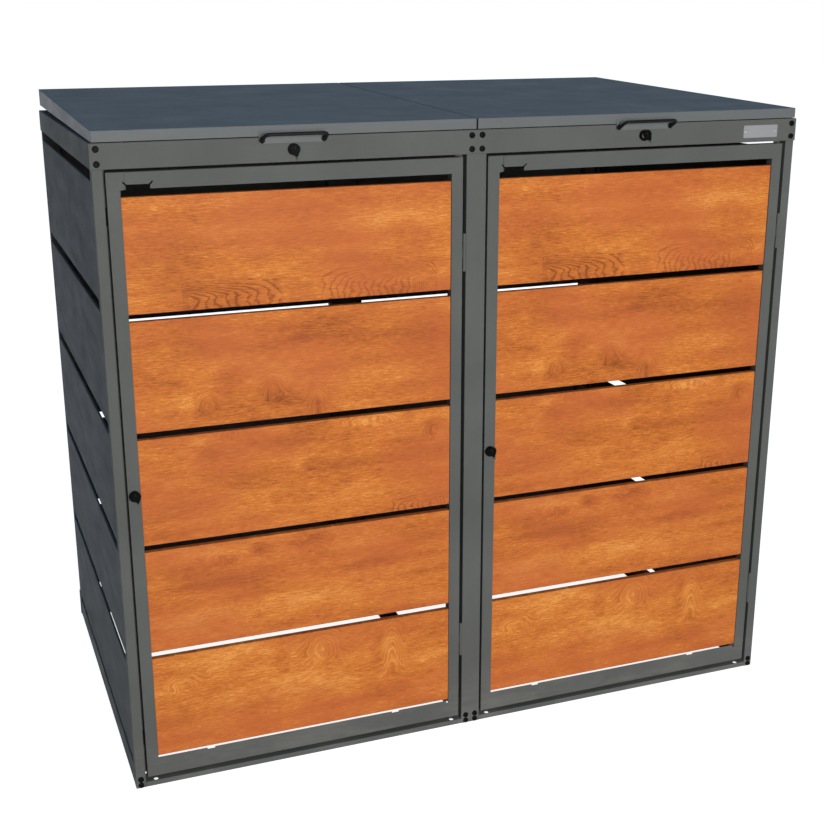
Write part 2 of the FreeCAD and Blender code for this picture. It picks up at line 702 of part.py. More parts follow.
def lid_hinge(side, bay, low, leaves, pins):
    radius = "lid_hinge_radius"
    bore_radius = "lid_pin_radius + pin_play"
    seat = (LID_AXIS_Y, LID_AXIS_Z)
    first, middle, last = thirds(low, "lid_hinge_length")
    whole = (low, f"({low}) + lid_hinge_length")

    # The rail leaf lies on the outside of the rear top rail
    rail_y = (REAR, f"{REAR} + lid_leaf_sheet")
    plate = box("rail_leaf_plate", whole, rail_y, (f"{LID_AXIS_Z} - lid_leaf_height", LID_AXIS_Z))
    relief_x = (f"{middle[0]} - knuckle_gap", f"{middle[1]} + knuckle_gap")
    relief_z = (f"{LID_AXIS_Z} - lid_hinge_radius - knuckle_gap", LID_AXIS_Z)
    relief = box("rail_leaf_relief", relief_x, rail_y, relief_z)
    body = fuse(
        "rail_leaf_body",
        [cut("rail_leaf_cut", plate, [relief])]
        + [cylinder("rail_knuckle", "X", radius, span, seat) for span in (first, last)],
    )
    bore = cylinder("rail_leaf_bore", "X", bore_radius, whole, seat)
    leaves["frame"].append(cut("rail_leaf", body, [bore]))

    # The lid leaf stands on the inside of the lid's rear skirt
    lid_y = (f"{LID_REAR_INNER} - lid_leaf_sheet", LID_REAR_INNER)
    lid_z = (LID_AXIS_Z, f"{LID_AXIS_Z} + lid_leaf_height")
    plate = box("lid_leaf_plate", whole, lid_y, lid_z)
    relief_z = (LID_AXIS_Z, f"{LID_AXIS_Z} + lid_hinge_radius + knuckle_gap")
    reliefs = [
        box("lid_leaf_relief", (first[0], f"{first[1]} + knuckle_gap"), lid_y, relief_z),
        box("lid_leaf_relief", (f"{last[0]} - knuckle_gap", last[1]), lid_y, relief_z),
    ]
    body = fuse(
        "lid_leaf_body",
        [cut("lid_leaf_cut", plate, reliefs), cylinder("lid_knuckle", "X", radius, middle, seat)],
    )
    bore = cylinder("lid_leaf_bore", "X", bore_radius, whole, seat)
    leaves[f"{side}_lid"].append(cut("lid_leaf", body, [bore]))
    pins.append(cylinder("lid_pin", "X", "lid_pin_radius", whole, seat))


def hinges():
    leaves = {key: [] for key in ("frame", "left", "right", "left_lid", "right_lid")}
    pins = []
    for side, bay in BAYS.items():
        for centre in (f"{DOOR_LOW} + door_hinge_inset", f"{DOOR_HIGH} - door_hinge_inset"):
            door_hinge(side, bay, f"({centre} - door_hinge_length / 2)", leaves, pins)
        for centre in (
            f"{bay['lid_low']} + lid_hinge_inset",
            f"{bay['lid_high']} - lid_hinge_inset",
        ):
            lid_hinge(side, bay, f"({centre} - lid_hinge_length / 2)", leaves, pins)
    node("frame_hinge_leaves", group("frame_hinge_leaves", leaves["frame"]))
    node("hinge_pins", group("hinge_pins", pins))
    for side in BAYS:
        name = f"{side}_door_hinge_leaves"
        node(name, group(name, leaves[side]))
        name = f"{side}_lid_hinge_leaves"
        node(name, group(name, leaves[f"{side}_lid"]))


# Lids: a shell that slopes down to the front, resting on pads on the front rail
LID_AXIS_Y = f"({REAR} + lid_hinge_radius)"
LID_AXIS_Z = "(frame_height + lid_rear_gap / 2)"
LID_FRONT = f"({FRONT} - lid_front_overhang)"
LID_FRONT_INNER = f"({LID_FRONT} + frame_sheet)"
LID_REAR_INNER = f"({LID_AXIS_Y} + lid_hinge_radius)"
LID_REAR = f"({LID_REAR_INNER} + frame_sheet)"
LID_LOW = "(frame_height + lid_front_gap)"
LID_TOP = f"({LID_LOW} + lid_skirt_front)"
LID_REAR_LOW = "(frame_height + lid_rear_gap)"
LID_REAR_TOP = f"({LID_REAR_LOW} + lid_skirt_rear)"
HANDLE_PLATE_FRONT = f"({LID_FRONT} - frame_sheet)"


def wedge(name, x, y, z_front, z_rear):
    """A block whose top and bottom run straight from the front span to the rear span."""
    part = doc.addObject("Part::Wedge", name)
    values = {
        "Xmin": x[0], "Xmax": x[1], "X2min": x[0], "X2max": x[1],
        "Ymin": y[0], "Ymax": y[1],
        "Zmin": z_front[0], "Zmax": z_front[1], "Z2min": z_rear[0], "Z2max": z_rear[1],
    }
    for prop, text in values.items():
        bind(part, prop, text)
    return part


def lid(side, bay):
    x = (bay["lid_low"], bay["lid_high"])
    shell = wedge(
        f"{side}_lid_outer", x, (LID_FRONT, LID_REAR), (LID_LOW, LID_TOP), (LID_REAR_LOW, LID_REAR_TOP)
    )
    inner_x = (f"{x[0]} + frame_sheet", f"{x[1]} - frame_sheet")
    inner_y = (LID_FRONT_INNER, LID_REAR_INNER)
    hollow = wedge(
        f"{side}_lid_hollow",
        inner_x,
        inner_y,
        (f"{LID_LOW} - lid_lip", f"{LID_TOP} - frame_sheet"),
        (f"{LID_REAR_LOW} - lid_lip", f"{LID_REAR_TOP} - frame_sheet"),
    )
    lip = box(
        f"{side}_lid_lip",
        inner_x,
        (inner_y[0], f"{inner_y[0]} + lid_lip"),
        (LID_LOW, f"{LID_LOW} + frame_sheet"),
    )
    name = f"{side}_lid"
    node(name, fuse(name, [cut(f"{side}_lid_shell", shell, [hollow]), lip]))


def lid_pads():
    pads = []
    for bay in BAYS.values():
        for x in (
            f"({bay['lid_low']} + lid_pad_inset)",
            f"({bay['lid_high']} - lid_pad_inset - lid_pad_width)",
        ):
            pads.append(
                box(
                    "lid_pad",
                    (x, f"{x} + lid_pad_width"),
                    (POST_FRONT, f"{POST_FRONT} + lid_pad_depth"),
                    ("frame_height", "frame_height + lid_pad_height"),
                )
            )
    return pads


def quarter_bend(name, x, angle):
    part = doc.addObject("Part::Torus", name)
    bind(part, "Radius1", "handle_bend")
    bind(part, "Radius2", "handle_radius")
    part.Angle3 = 90
    turn(part, (0, 0, 1), angle)
    place(part, x, f"{HANDLE_LENGTH} - handle_bend", "0")
    return part


HANDLE_LENGTH = "sqrt(handle_reach * handle_reach + handle_rise * handle_rise)"


def handle(side, bay):
    """A bow of round bar, welded to a plate that hangs from the lid's front skirt."""
    half = "handle_spacing / 2"
    leg = ("-handle_stub", f"{HANDLE_LENGTH} - handle_bend")
    parts = [
        cylinder(f"{side}_leg", "Y", "handle_radius", leg, (f"-{half}", "0")),
        cylinder(f"{side}_leg", "Y", "handle_radius", leg, (half, "0")),
        quarter_bend(f"{side}_bend", f"-{half} + handle_bend", 90),
        quarter_bend(f"{side}_bend", f"{half} - handle_bend", 0),
        cylinder(
            f"{side}_bar",
            "X",
            "handle_radius",
            (f"-{half} + handle_bend", f"{half} - handle_bend"),
            (HANDLE_LENGTH, "0"),
        ),
    ]
    bow = fuse(f"{side}_bow", parts)
    turn(bow, (1, 0, 0), 0)
    bind(bow, "Placement.Rotation.Angle", "180 deg - atan2(handle_rise; handle_reach)")
    plate_low = f"({LID_LOW} - handle_plate_drop)"
    place(bow, bay["centre"], HANDLE_PLATE_FRONT, f"{plate_low} + handle_foot_inset")
    behind = box(
        f"{side}_behind_plate",
        (f"{bay['centre']} - handle_spacing", f"{bay['centre']} + handle_spacing"),
        (HANDLE_PLATE_FRONT, f"{HANDLE_PLATE_FRONT} + 2 * handle_stub"),
        (f"{plate_low} - 2 * handle_stub", f"{plate_low} + 2 * handle_stub"),
    )
    plate = box(
        f"{side}_plate",
        (f"{bay['centre']} - handle_plate_width / 2", f"{bay['centre']} + handle_plate_width / 2"),
        (HANDLE_PLATE_FRONT, LID_FRONT),
        (plate_low, f"{LID_LOW} + handle_plate_lap"),
    )
    name = f"{side}_lid_handle"
    node(name, fuse(name, [cut(f"{side}_bow_trimmed", bow, [behind]), plate]))


LID_SLOPE = f"(({LID_REAR_TOP} - {LID_TOP}) / ({LID_REAR_INNER} - {LID_FRONT_INNER}))"
KEEPER_FRONT = f"({FRONT} + lock_reach + cam_sheet + keeper_gap)"


def keeper(side, bay):
    """A hooked strap under the lid; the turned cam lies over its lip."""
    x = (f"{bay['centre']} + keeper_start", f"{bay['centre']} + keeper_start + keeper_width")
    run = f"({KEEPER_FRONT} - {LID_FRONT_INNER})"
    underside = f"({LID_TOP} - frame_sheet + {LID_SLOPE} * {run})"
    low = "(frame_height - keeper_drop)"
    strap = box(
        f"{side}_strap", x, (KEEPER_FRONT, f"{KEEPER_FRONT} + keeper_sheet"), (low, underside)
    )
    hook = box(
        f"{side}_hook", x, (f"{KEEPER_FRONT} - keeper_lip", KEEPER_FRONT), (low, f"{low} + keeper_sheet")
    )
    name = f"{side}_lid_keeper"
    node(name, fuse(name, [strap, hook]))


# Cam locks, each built about its own axis: y = 0 is the face that the head sits on
# How far each dust cover leans to the right of plumb, in degrees
COVER_TILT = {"left_lid_lock": 15, "right_lid_lock": 37, "left_door_lock": 15, "right_door_lock": 24}


def lock_housing(name):
    head = cylinder(f"{name}_head", "Y", "lock_head_radius", ("-lock_head_height", "0"), ("0", "0"))
    barrel = cylinder(
        f"{name}_barrel", "Y", "lock_barrel_radius", ("0", "lock_barrel_length"), ("0", "0")
    )
    bore_span = ("-lock_head_height", "lock_barrel_length")
    bore = cylinder(f"{name}_bore", "Y", "lock_plug_radius + pin_play", bore_span, ("0", "0"))
    pin_span = ("-lock_head_height - cover_gap - cover_sheet", "-lock_head_height")
    pin = cylinder(f"{name}_pin", "Y", "cover_pin_radius", pin_span, ("0", "cover_pivot_rise"))
    return cut(name, fuse(f"{name}_blank", [head, barrel, pin]), [bore])


def lock_nut(name):
    start = "frame_sheet"
    ring = cylinder(
        f"{name}_ring", "Y", "lock_nut_radius", (start, f"{start} + lock_nut_height"), ("0", "0")
    )
    bore = cylinder(
        f"{name}_bore", "Y", "lock_barrel_radius", (start, f"{start} + lock_nut_height"), ("0", "0")
    )
    return cut(name, ring, [bore])


def lock_plug(name):
    """The turning core, its key slot, the stud that carries the cam and the cam's nut."""
    core_span = ("-lock_head_height + cover_gap", "lock_reach")
    stud_span = ("lock_reach", "lock_reach + cam_sheet + cam_nut_height")
    nut_span = ("lock_reach + cam_sheet", "lock_reach + cam_sheet + cam_nut_height")
    core = cylinder(f"{name}_core", "Y", "lock_plug_radius", core_span, ("0", "0"))
    stud = cylinder(f"{name}_stud", "Y", "cam_stud_radius", stud_span, ("0", "0"))
    nut = cylinder(f"{name}_nut", "Y", "cam_nut_radius", nut_span, ("0", "0"))
    slot = box(
        f"{name}_slot",
        ("-key_slot_width / 2", "key_slot_width / 2"),
        ("-lock_head_height", "lock_barrel_length / 2"),
        ("-key_slot_height / 2", "key_slot_height / 2"),
    )
    return cut(name, fuse(f"{name}_blank", [core, stud, nut]), [slot])


def lock_cam(name, direction):
    """A flat tongue that points up (+1) or down (-1) at rest."""
    span = ("lock_reach", "lock_reach + cam_sheet")
    far = "(cam_length - cam_width / 2)"
    if direction > 0:
        arm_z = ("0", far)
        tip_z = far
    else:
        arm_z = (f"-{far}", "0")
        tip_z = f"-{far}"
    hub = cylinder(f"{name}_hub", "Y", "cam_hub_radius", span, ("0", "0"))
    tip = cylinder(f"{name}_tip", "Y", "cam_width / 2", span, ("0", tip_z))
    arm = box(f"{name}_arm", ("-cam_width / 2", "cam_width / 2"), span, arm_z)
    hole = cylinder(f"{name}_hole", "Y", "cam_stud_radius", span, ("0", "0"))
    return cut(name, fuse(f"{name}_blank", [hub, tip, arm]), [hole])


def lock_cover(name):
    """A drop-shaped dust cover that hangs from a pin at the top of the head."""
    span = ("-lock_head_height - cover_gap - cover_sheet", "-lock_head_height - cover_gap")
    disc = cylinder(f"{name}_disc", "Y", "cover_radius", span, ("0", "0"))
    tail = doc.addObject("Part::Wedge", f"{name}_tail")
    values = {
        "Xmin": "-cover_shoulder", "Xmax": "cover_shoulder",
        "X2min": "-cover_tail_width / 2", "X2max": "cover_tail_width / 2",
        "Ymin": "cover_shoulder_drop", "Ymax": "cover_tail",
        "Zmin": span[0], "Zmax": span[1], "Z2min": span[0], "Z2max": span[1],
    }
    for prop, text in values.items():
        bind(tail, prop, text)
    turn(tail, (1, 0, 0), -90)
    hole = cylinder(
        f"{name}_hole", "Y", "cover_pin_radius + pin_play", span, ("0", "cover_pivot_rise")
    )
    return cut(name, fuse(f"{name}_blank", [disc, tail]), [hole])


def lock_set(prefix, x, y, z, cam_direction):
    tilt = COVER_TILT[prefix]
    parts = {
        "housing": lock_housing(f"{prefix}_housing"),
        "nut": lock_nut(f"{prefix}_nut"),
        "plug": lock_plug(f"{prefix}_plug"),
        "cam": lock_cam(f"{prefix}_cam", cam_direction),
        "cover": lock_cover(f"{prefix}_cover"),
    }
    for part in parts.values():
        place(part, x, y, z)
    turn(parts["cover"], (0, 1, 0), -tilt)
    side_step = f"cover_pivot_rise * sin({tilt} deg)"
    rise = f"cover_pivot_rise * (1 - cos({tilt} deg))"
    place(parts["cover"], f"{x} + {side_step}", y, f"{z} + {rise}")
    for kind in ("plug", "cam", "cover"):
        node(f"{prefix}_{kind}", parts[kind])
    return parts


def locks():
    rail_sets = []
    for side, bay in BAYS.items():
        prefix = f"{side}_lid_lock"
        rail_sets.append(lock_set(prefix, bay["centre"], FRONT, LOCK_Z["rail"], 1))
        prefix = f"{side}_door_lock"
        parts = lock_set(prefix, bay["lock_x"], POST_FRONT, LOCK_Z["door"], -1)
        node(f"{prefix}_housing", parts["housing"])
        node(f"{prefix}_nut", parts["nut"])
    housings = [parts["housing"] for parts in rail_sets]
    nuts = [parts["nut"] for parts in rail_sets]
    node("rail_lock_housings", group("rail_lock_housings", housings))
    node("rail_lock_nuts", group("rail_lock_nuts", nuts))


# Fasteners
def bolt(x, z, face, inward):
    """A button-head bolt and its nut behind the post wall; inward is +1 at the front."""
    if inward > 0:
        head_y = (f"{face} - bolt_head_height", face)
        shank_y = (face, f"{face} + bolt_length")
        nut_start = f"{face} + 2 * frame_sheet"
        nut_y = (nut_start, f"{nut_start} + nut_height")
    else:
        head_y = (face, f"{face} + bolt_head_height")
        shank_y = (f"{face} - bolt_length", face)
        nut_end = f"{face} - 2 * frame_sheet"
        nut_y = (f"{nut_end} - nut_height", nut_end)
    head = cylinder("bolt_head", "Y", "bolt_head_radius", head_y, (x, z))
    shank = cylinder("bolt_shank", "Y", "bolt_radius", shank_y, (x, z))
    ring = cylinder("bolt_nut_blank", "Y", "nut_radius", nut_y, (x, z))
    bore = cylinder("bolt_nut_bore", "Y", "bolt_radius + bolt_play / 2", nut_y, (x, z))
    return fuse("bolt", [head, shank]), cut("bolt_nut", ring, [bore])


def fasteners():
    bolts = []
    nuts = []
    faces = [
        (every(FRONT_COLUMNS), TOP_ROWS, FRONT, 1),
        (every(FRONT_COLUMNS), LOW_ROWS, POST_FRONT, 1),
        (every(REAR_COLUMNS), TOP_ROWS + KICK_ROWS, REAR, -1),
    ]
    for columns, rows, face, inward in faces:
        for x in columns:
            for z in rows:
                one, its_nut = bolt(x, z, face, inward)
                bolts.append(one)
                nuts.append(its_nut)
    node("frame_bolts", group("frame_bolts", bolts))
    node("frame_nuts", group("frame_nuts", nuts))


def nameplate():
    plate_y = (f"{FRONT} - plate_sheet", FRONT)
    blank = box(
        "nameplate_blank",
        (f"{PLATE_X} - plate_width / 2", f"{PLATE_X} + plate_width / 2"),
        plate_y,
        (f"{PLATE_Z} - plate_height / 2", f"{PLATE_Z} + plate_height / 2"),
    )
    holes = [
        cylinder("nameplate_hole", "Y", "plate_rivet_radius", plate_y, (x, PLATE_Z))
        for x in PLATE_RIVETS
    ]
    node("nameplate", cut("nameplate", blank, holes))
    rivets = []
    for x in PLATE_RIVETS:
        head_y = (f"{FRONT} - plate_sheet - plate_rivet_head", f"{FRONT} - plate_sheet")
        shank_y = (f"{FRONT} - plate_sheet", f"{POST_FRONT} + plate_rivet_head")
        head = cylinder("rivet_head", "Y", "2 * plate_rivet_radius", head_y, (x, PLATE_Z))
        shank = cylinder("rivet_shank", "Y", "plate_rivet_radius", shank_y, (x, PLATE_Z))
        rivets.append(fuse("rivet", [head, shank]))
    node("nameplate_rivets", group("nameplate_rivets", rivets))


# Build
posts()
top_rails()
bottom_rails()
walls()
for side_name, bay_of in BAYS.items():
    sill(side_name, bay_of)
    door(side_name, bay_of)
    lid(side_name, bay_of)
    handle(side_name, bay_of)
    keeper(side_name, bay_of)
node("rubber_buffers", group("rubber_buffers", door_stops() + lid_pads()))
hinges()
locks()
fasteners()
nameplate()
doc.recompute()

# Check and write
failed = [thing.Name for thing in doc.Objects if {"Invalid", "Error"} & set(thing.State)]
for name, part in nodes.items():
    if part.Shape.isNull() or not part.Shape.isValid() or not part.Shape.Solids:
        failed.append(name)
if failed:
    raise RuntimeError(f"These did not build: {failed}")
os.makedirs("parts", exist_ok=True)
for name, part in nodes.items():
    part.Shape.exportStep(f"parts/{name}.step")
print(len(nodes), "nodes,", sum(len(part.Shape.Solids) for part in nodes.values()), "solids")
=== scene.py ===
import json
import math

import bmesh
import bpy
from mathutils import Matrix, Vector

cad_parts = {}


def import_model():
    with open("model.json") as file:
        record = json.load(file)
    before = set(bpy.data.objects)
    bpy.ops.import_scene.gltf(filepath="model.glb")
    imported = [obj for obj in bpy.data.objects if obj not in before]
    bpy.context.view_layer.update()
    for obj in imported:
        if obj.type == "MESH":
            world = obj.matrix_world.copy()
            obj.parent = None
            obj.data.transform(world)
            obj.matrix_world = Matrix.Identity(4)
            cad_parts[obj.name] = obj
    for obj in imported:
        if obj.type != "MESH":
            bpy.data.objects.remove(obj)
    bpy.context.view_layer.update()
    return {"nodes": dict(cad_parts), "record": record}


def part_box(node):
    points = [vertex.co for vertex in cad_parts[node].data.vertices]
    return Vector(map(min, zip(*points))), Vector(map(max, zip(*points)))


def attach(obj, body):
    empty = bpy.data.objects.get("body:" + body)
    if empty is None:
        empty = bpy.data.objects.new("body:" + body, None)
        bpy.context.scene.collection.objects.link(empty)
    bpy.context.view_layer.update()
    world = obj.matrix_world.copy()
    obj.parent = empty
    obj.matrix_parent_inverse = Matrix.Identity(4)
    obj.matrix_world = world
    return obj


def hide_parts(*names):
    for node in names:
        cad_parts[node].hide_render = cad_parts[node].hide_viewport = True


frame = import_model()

# Wheelie bin store for two bins: painted sheet steel, wood-look door panels, black locks and bolts.
# Metres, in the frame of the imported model.
MM = 0.001
NEAR = 0.02 * MM
X, Y, Z = 0, 1, 2
FOLD_RADIUS = 1.2 * MM
CUT_EDGE = 0.25 * MM


# Selecting and finishing
def select_only(*pieces):
    bpy.ops.object.select_all(action="DESELECT")
    for piece in pieces:
        piece.select_set(True)
    bpy.context.view_layer.objects.active = pieces[0]


def start_editing(piece, kind="EDGE"):
    select_only(piece)
    bpy.ops.object.mode_set(mode="EDIT")
    bpy.ops.mesh.select_mode(type=kind)
    bpy.ops.mesh.select_all(action="DESELECT")


def stop_editing():
    bpy.ops.object.mode_set(mode="OBJECT")


def pick_edges(piece, wanted):
    """Selects the edges whose two ends pass the test, and counts them."""
    bpy.ops.mesh.select_all(action="DESELECT")
    mesh = bmesh.from_edit_mesh(piece.data)
    picked = [e for e in mesh.edges if wanted(e.verts[0].co, e.verts[1].co)]
    for edge in picked:
        edge.select_set(True)
    bmesh.update_edit_mesh(piece.data)
    return len(picked)


def pick_faces(piece, wanted):
    """Selects the faces whose middle and direction pass the test, and counts them."""
    bpy.ops.mesh.select_all(action="DESELECT")
    mesh = bmesh.from_edit_mesh(piece.data)
    mesh.normal_update()
    picked = [f for f in mesh.faces if wanted(f.calc_center_median(), f.normal)]
    for face in picked:
        face.select_set(True)
    bmesh.update_edit_mesh(piece.data)
    return len(picked)


def in_plane(axis, place, shortest=50 * MM):
    """Long edges that lie in one plane square to an axis."""

    def wanted(a, b):
        level = abs(a[axis] - place) < NEAR and abs(b[axis] - place) < NEAR
        return level and (a - b).length > shortest

    return wanted


def apply_modifiers(piece):
    select_only(piece)
    for name in [m.name for m in piece.modifiers]:
        bpy.ops.object.modifier_apply(modifier=name)


def break_edges(piece, width=CUT_EDGE):
    """Takes the sharpness off cut edges and hole rims."""
    rim = piece.modifiers.new("cut edges", "BEVEL")
    rim.limit_method = "ANGLE"
    rim.angle_limit = math.radians(50)
    rim.width = width
    rim.segments = 1
    rim.use_clamp_overlap = False
    apply_modifiers(piece)


def shade(piece, angle=40):
    """Smooth folds between flat faces; angle is the sharpest turn that is still smoothed."""
    select_only(piece)
    bpy.ops.object.shade_smooth_by_angle(angle=math.radians(angle))
    flats = piece.modifiers.new("flat faces stay flat", "WEIGHTED_NORMAL")
    flats.keep_sharp = True
    flats.weight = 100
    apply_modifiers(piece)


def copy_of(node, name):
    """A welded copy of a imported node, ready to be finished by hand."""
    piece = bpy.data.objects.new(name, frame["nodes"][node].data.copy())
    bpy.context.scene.collection.objects.link(piece)
    start_editing(piece)
    bpy.ops.mesh.select_all(action="SELECT")
    bpy.ops.mesh.remove_doubles(threshold=0.01 * MM)
    bpy.ops.mesh.dissolve_limited(angle_limit=math.radians(1))
    stop_editing()
    bpy.ops.mesh.customdata_custom_splitnormals_clear()
    piece.data.materials.clear()
    return piece


def fold(piece, wanted, radius, steps=3):
    """Rounds the chosen edges as a press brake leaves them."""
    start_editing(piece)
    if pick_edges(piece, wanted):
        bpy.ops.mesh.bevel(offset=radius, segments=steps, clamp_overlap=False)
    stop_editing()


def pull(x, y, z):
    """Extrudes the selected faces by this much."""
    bpy.ops.mesh.extrude_region_move(TRANSFORM_OT_translate={"value": (x, y, z)})


def body_of(node):
    """The moving body that the record puts a node on."""
    return next(b for b, nodes in BODIES.items() if node in nodes)


def hand_over(piece, node, slot=None):
    """The piece stands for the node, moves with its body and takes its paint slot."""
    finish = slot or SLOTS[node]
    piece.data.materials.clear()
    piece.data.materials.append(FINISHES[finish])
    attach(piece, body_of(node))
    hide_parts(node)


def solids_of(node):
    """The box of each separate solid in a node."""
    mesh = bmesh.new()
    mesh.from_mesh(frame["nodes"][node].data)
    bmesh.ops.remove_doubles(mesh, verts=mesh.verts, dist=NEAR / 2)
    waiting = set(mesh.verts)
    boxes = []
    while waiting:
        group = [waiting.pop()]
        for vert in group:
            for edge in vert.link_edges:
                other = edge.other_vert(vert)
                if other in waiting:
                    waiting.discard(other)
                    group.append(other)
        corners = [[v.co[i] for v in group] for i in range(3)]
        boxes.append((Vector(map(min, corners)), Vector(map(max, corners))))
    mesh.free()
    return sorted(boxes, key=lambda b: tuple(round(c, 4) for c in b[0]))


BODIES = frame["record"]["behaviour"]["bodies"]
SLOTS = {name: node.data.materials[0].name for name, node in frame["nodes"].items()}


# Finishes
def linear(r, g, b):
    """A screen colour, 0 to 255, as the shader's own numbers."""

    def channel(value):
        share = value / 255
        return ((share + 0.055) / 1.055) ** 2.4 if value > 10 else share / 12.92

    return (channel(r), channel(g), channel(b), 1.0)


def toned(colour, factor):
    """The same colour, darker or lighter."""
    return tuple(min(1.0, c * factor) for c in colour[:3]) + (1.0,)


class Finish:
    """One material and the short words that build its nodes."""

    def __init__(self, name, **sockets):
        self.material = bpy.data.materials.new(name)
        self.material.use_nodes = True
        self.tree = self.material.node_tree
        self.shader = self.tree.nodes["Principled BSDF"]
        for socket, value in sockets.items():
            self.shader.inputs[socket.replace("_", " ")].default_value = value
        self.place = self.node("ShaderNodeTexCoord").outputs["Object"]

    def node(self, kind, **settings):
        made = self.tree.nodes.new(kind)
        for key, value in settings.items():
            setattr(made, key, value)
        return made

    def join(self, source, socket):
        if isinstance(source, (int, float, tuple)):
            socket.default_value = source
        else:
            self.tree.links.new(source, socket)

    def math(self, operation, a, b=0.0, c=0.0, clamp=False):
        made = self.node("ShaderNodeMath", operation=operation, use_clamp=clamp)
        for value, socket in zip((a, b, c), made.inputs):
            self.join(value, socket)
        return made.outputs[0]

    def stretched(self, x, y, z, source=None, move=(0, 0, 0)):
        made = self.node("ShaderNodeMapping")
        self.join(source or self.place, made.inputs["Vector"])
        made.inputs["Scale"].default_value = (x, y, z)
        made.inputs["Location"].default_value = move
        return made.outputs[0]

    def noise(self, scale, detail=2.0, rough=0.5, source=None, twist=0.0):
        made = self.node("ShaderNodeTexNoise")
        self.join(source or self.place, made.inputs["Vector"])
        made.inputs["Scale"].default_value = scale
        made.inputs["Detail"].default_value = detail
        made.inputs["Roughness"].default_value = rough
        made.inputs["Distortion"].default_value = twist
        return made.outputs["Fac"]

    def between(self, value, low, high, to_low=0.0, to_high=1.0, smooth=False):
        made = self.node("ShaderNodeMapRange", interpolation_type="SMOOTHSTEP" if smooth else "LINEAR")
        for number, socket in zip((value, low, high, to_low, to_high), made.inputs):
            self.join(number, socket)
        return made.outputs[0]

    def mix(self, amount, a, b, blend="MIX"):
        made = self.node("ShaderNodeMix", data_type="RGBA", blend_type=blend)
        self.join(amount, made.inputs[0])
        self.join(a, made.inputs[6])
        self.join(b, made.inputs[7])
        return made.outputs[2]

    def colour(self, source):
        self.join(source, self.shader.inputs["Base Color"])

    def roughness(self, source):
        self.join(source, self.shader.inputs["Roughness"])

    def bump(self, height, distance, strength):
        made = self.node("ShaderNodeBump")
        made.inputs["Strength"].default_value = strength
        made.inputs["Distance"].default_value = distance
        self.join(height, made.inputs["Height"])
        self.join(made.outputs[0], self.shader.inputs["Normal"])


def powder_coat(name, colour, dust, roughness=0.55, specular=0.1, clouding=0.09):
    """Baked powder on steel: a fine sandy skin, faint clouding and dust that settles low down."""
    dust_line = 160 * MM
    coat = Finish(name, Specular_IOR_Level=specular)
    clouds = coat.noise(5.0, 4.0, 0.6)
    grit = coat.noise(900.0, 2.0, 0.6)
    smear = coat.noise(1.0, 5.0, 0.65, source=coat.stretched(9.0, 9.0, 30.0))
    base = coat.mix(coat.between(clouds, 0.3, 0.7), toned(colour, 1 - clouding), toned(colour, 1 + clouding))
    speck = coat.between(grit, 0.62, 0.75, 0.0, 0.25)
    base = coat.mix(speck, base, toned(colour, 1.5))
    height = coat.node("ShaderNodeSeparateXYZ")
    coat.join(coat.place, height.inputs[0])
    low = coat.between(height.outputs["Z"], dust_line, 0.0, smooth=True)
    settled = coat.math("MULTIPLY", low, coat.between(smear, 0.45, 0.7, 0.05, 0.4))
    coat.colour(coat.mix(settled, base, dust))
    rough = coat.between(smear, 0.3, 0.7, roughness - 0.05, roughness + 0.08)
    coat.roughness(coat.math("ADD", rough, coat.math("MULTIPLY", settled, 0.3), clamp=True))
    coat.bump(grit, 0.12 * MM, 0.35)
    return coat.material


DUST = linear(140, 136, 128)
FINISHES = {
    "frame_paint": powder_coat("anthracite powder coat", linear(97, 98, 94), DUST, specular=0.028),
    # The walls' paint is the frame's paint set a little darker: painted shade on the side walls.
    "wall_paint": powder_coat("wall slat powder coat", linear(93, 94, 92), DUST, specular=0.017),
    # The lid's paint is the frame's paint set lighter: painted light on the lid.
    "lid_paint": powder_coat("lid powder coat", linear(107, 109, 107), DUST, 0.45, clouding=0.035),
    "handle_paint": powder_coat("handle powder coat", linear(26, 27, 26), linear(90, 88, 84), 0.4),
}

# The printed board, seen from the front: panel from the bottom, metres from the window's left
# edge, metres up, half width, half height. Each hump lifts the grain lines, so that they bend.
PANEL_SHIFT = 0.5
GRAIN_HUMPS = [
    (3, 0.128, 0.745, 0.030, 0.035, 0.050),
    (3, 0.250, 0.760, 0.035, 0.045, 0.060),
    (3, 0.330, 0.730, 0.028, 0.050, 0.060),
    (2, 0.165, 0.684, 0.040, 0.022, 0.040),
    (2, 0.430, 0.684, 0.095, 0.030, 0.036),
    (2, 0.560, 0.650, 0.050, 0.036, 0.060),
    (1, 0.150, 0.448, 0.075, 0.030, 0.040),
    (1, 0.320, 0.440, 0.050, 0.032, 0.034),
    (0, 0.060, 0.205, 0.060, 0.034, 0.044),
    (0, 0.330, 0.235, 0.060, 0.060, 0.110),
    (0, 0.470, 0.210, 0.035, 0.110, 0.090),
]
# Fans along a board's lower edge: upright lines that lean over towards the middle at the top.
# Panel, middle, foot, reach to the left, reach to the right, height and number of lines.
GRAIN_FANS = [
    (4, 0.105, 0.905, 0.012, 0.168, 0.066, 9),
    (4, 0.515, 0.905, 0.175, 0.050, 0.074, 13),
    (2, 0.560, 0.484, 0.090, 0.060, 0.040, 7),
]
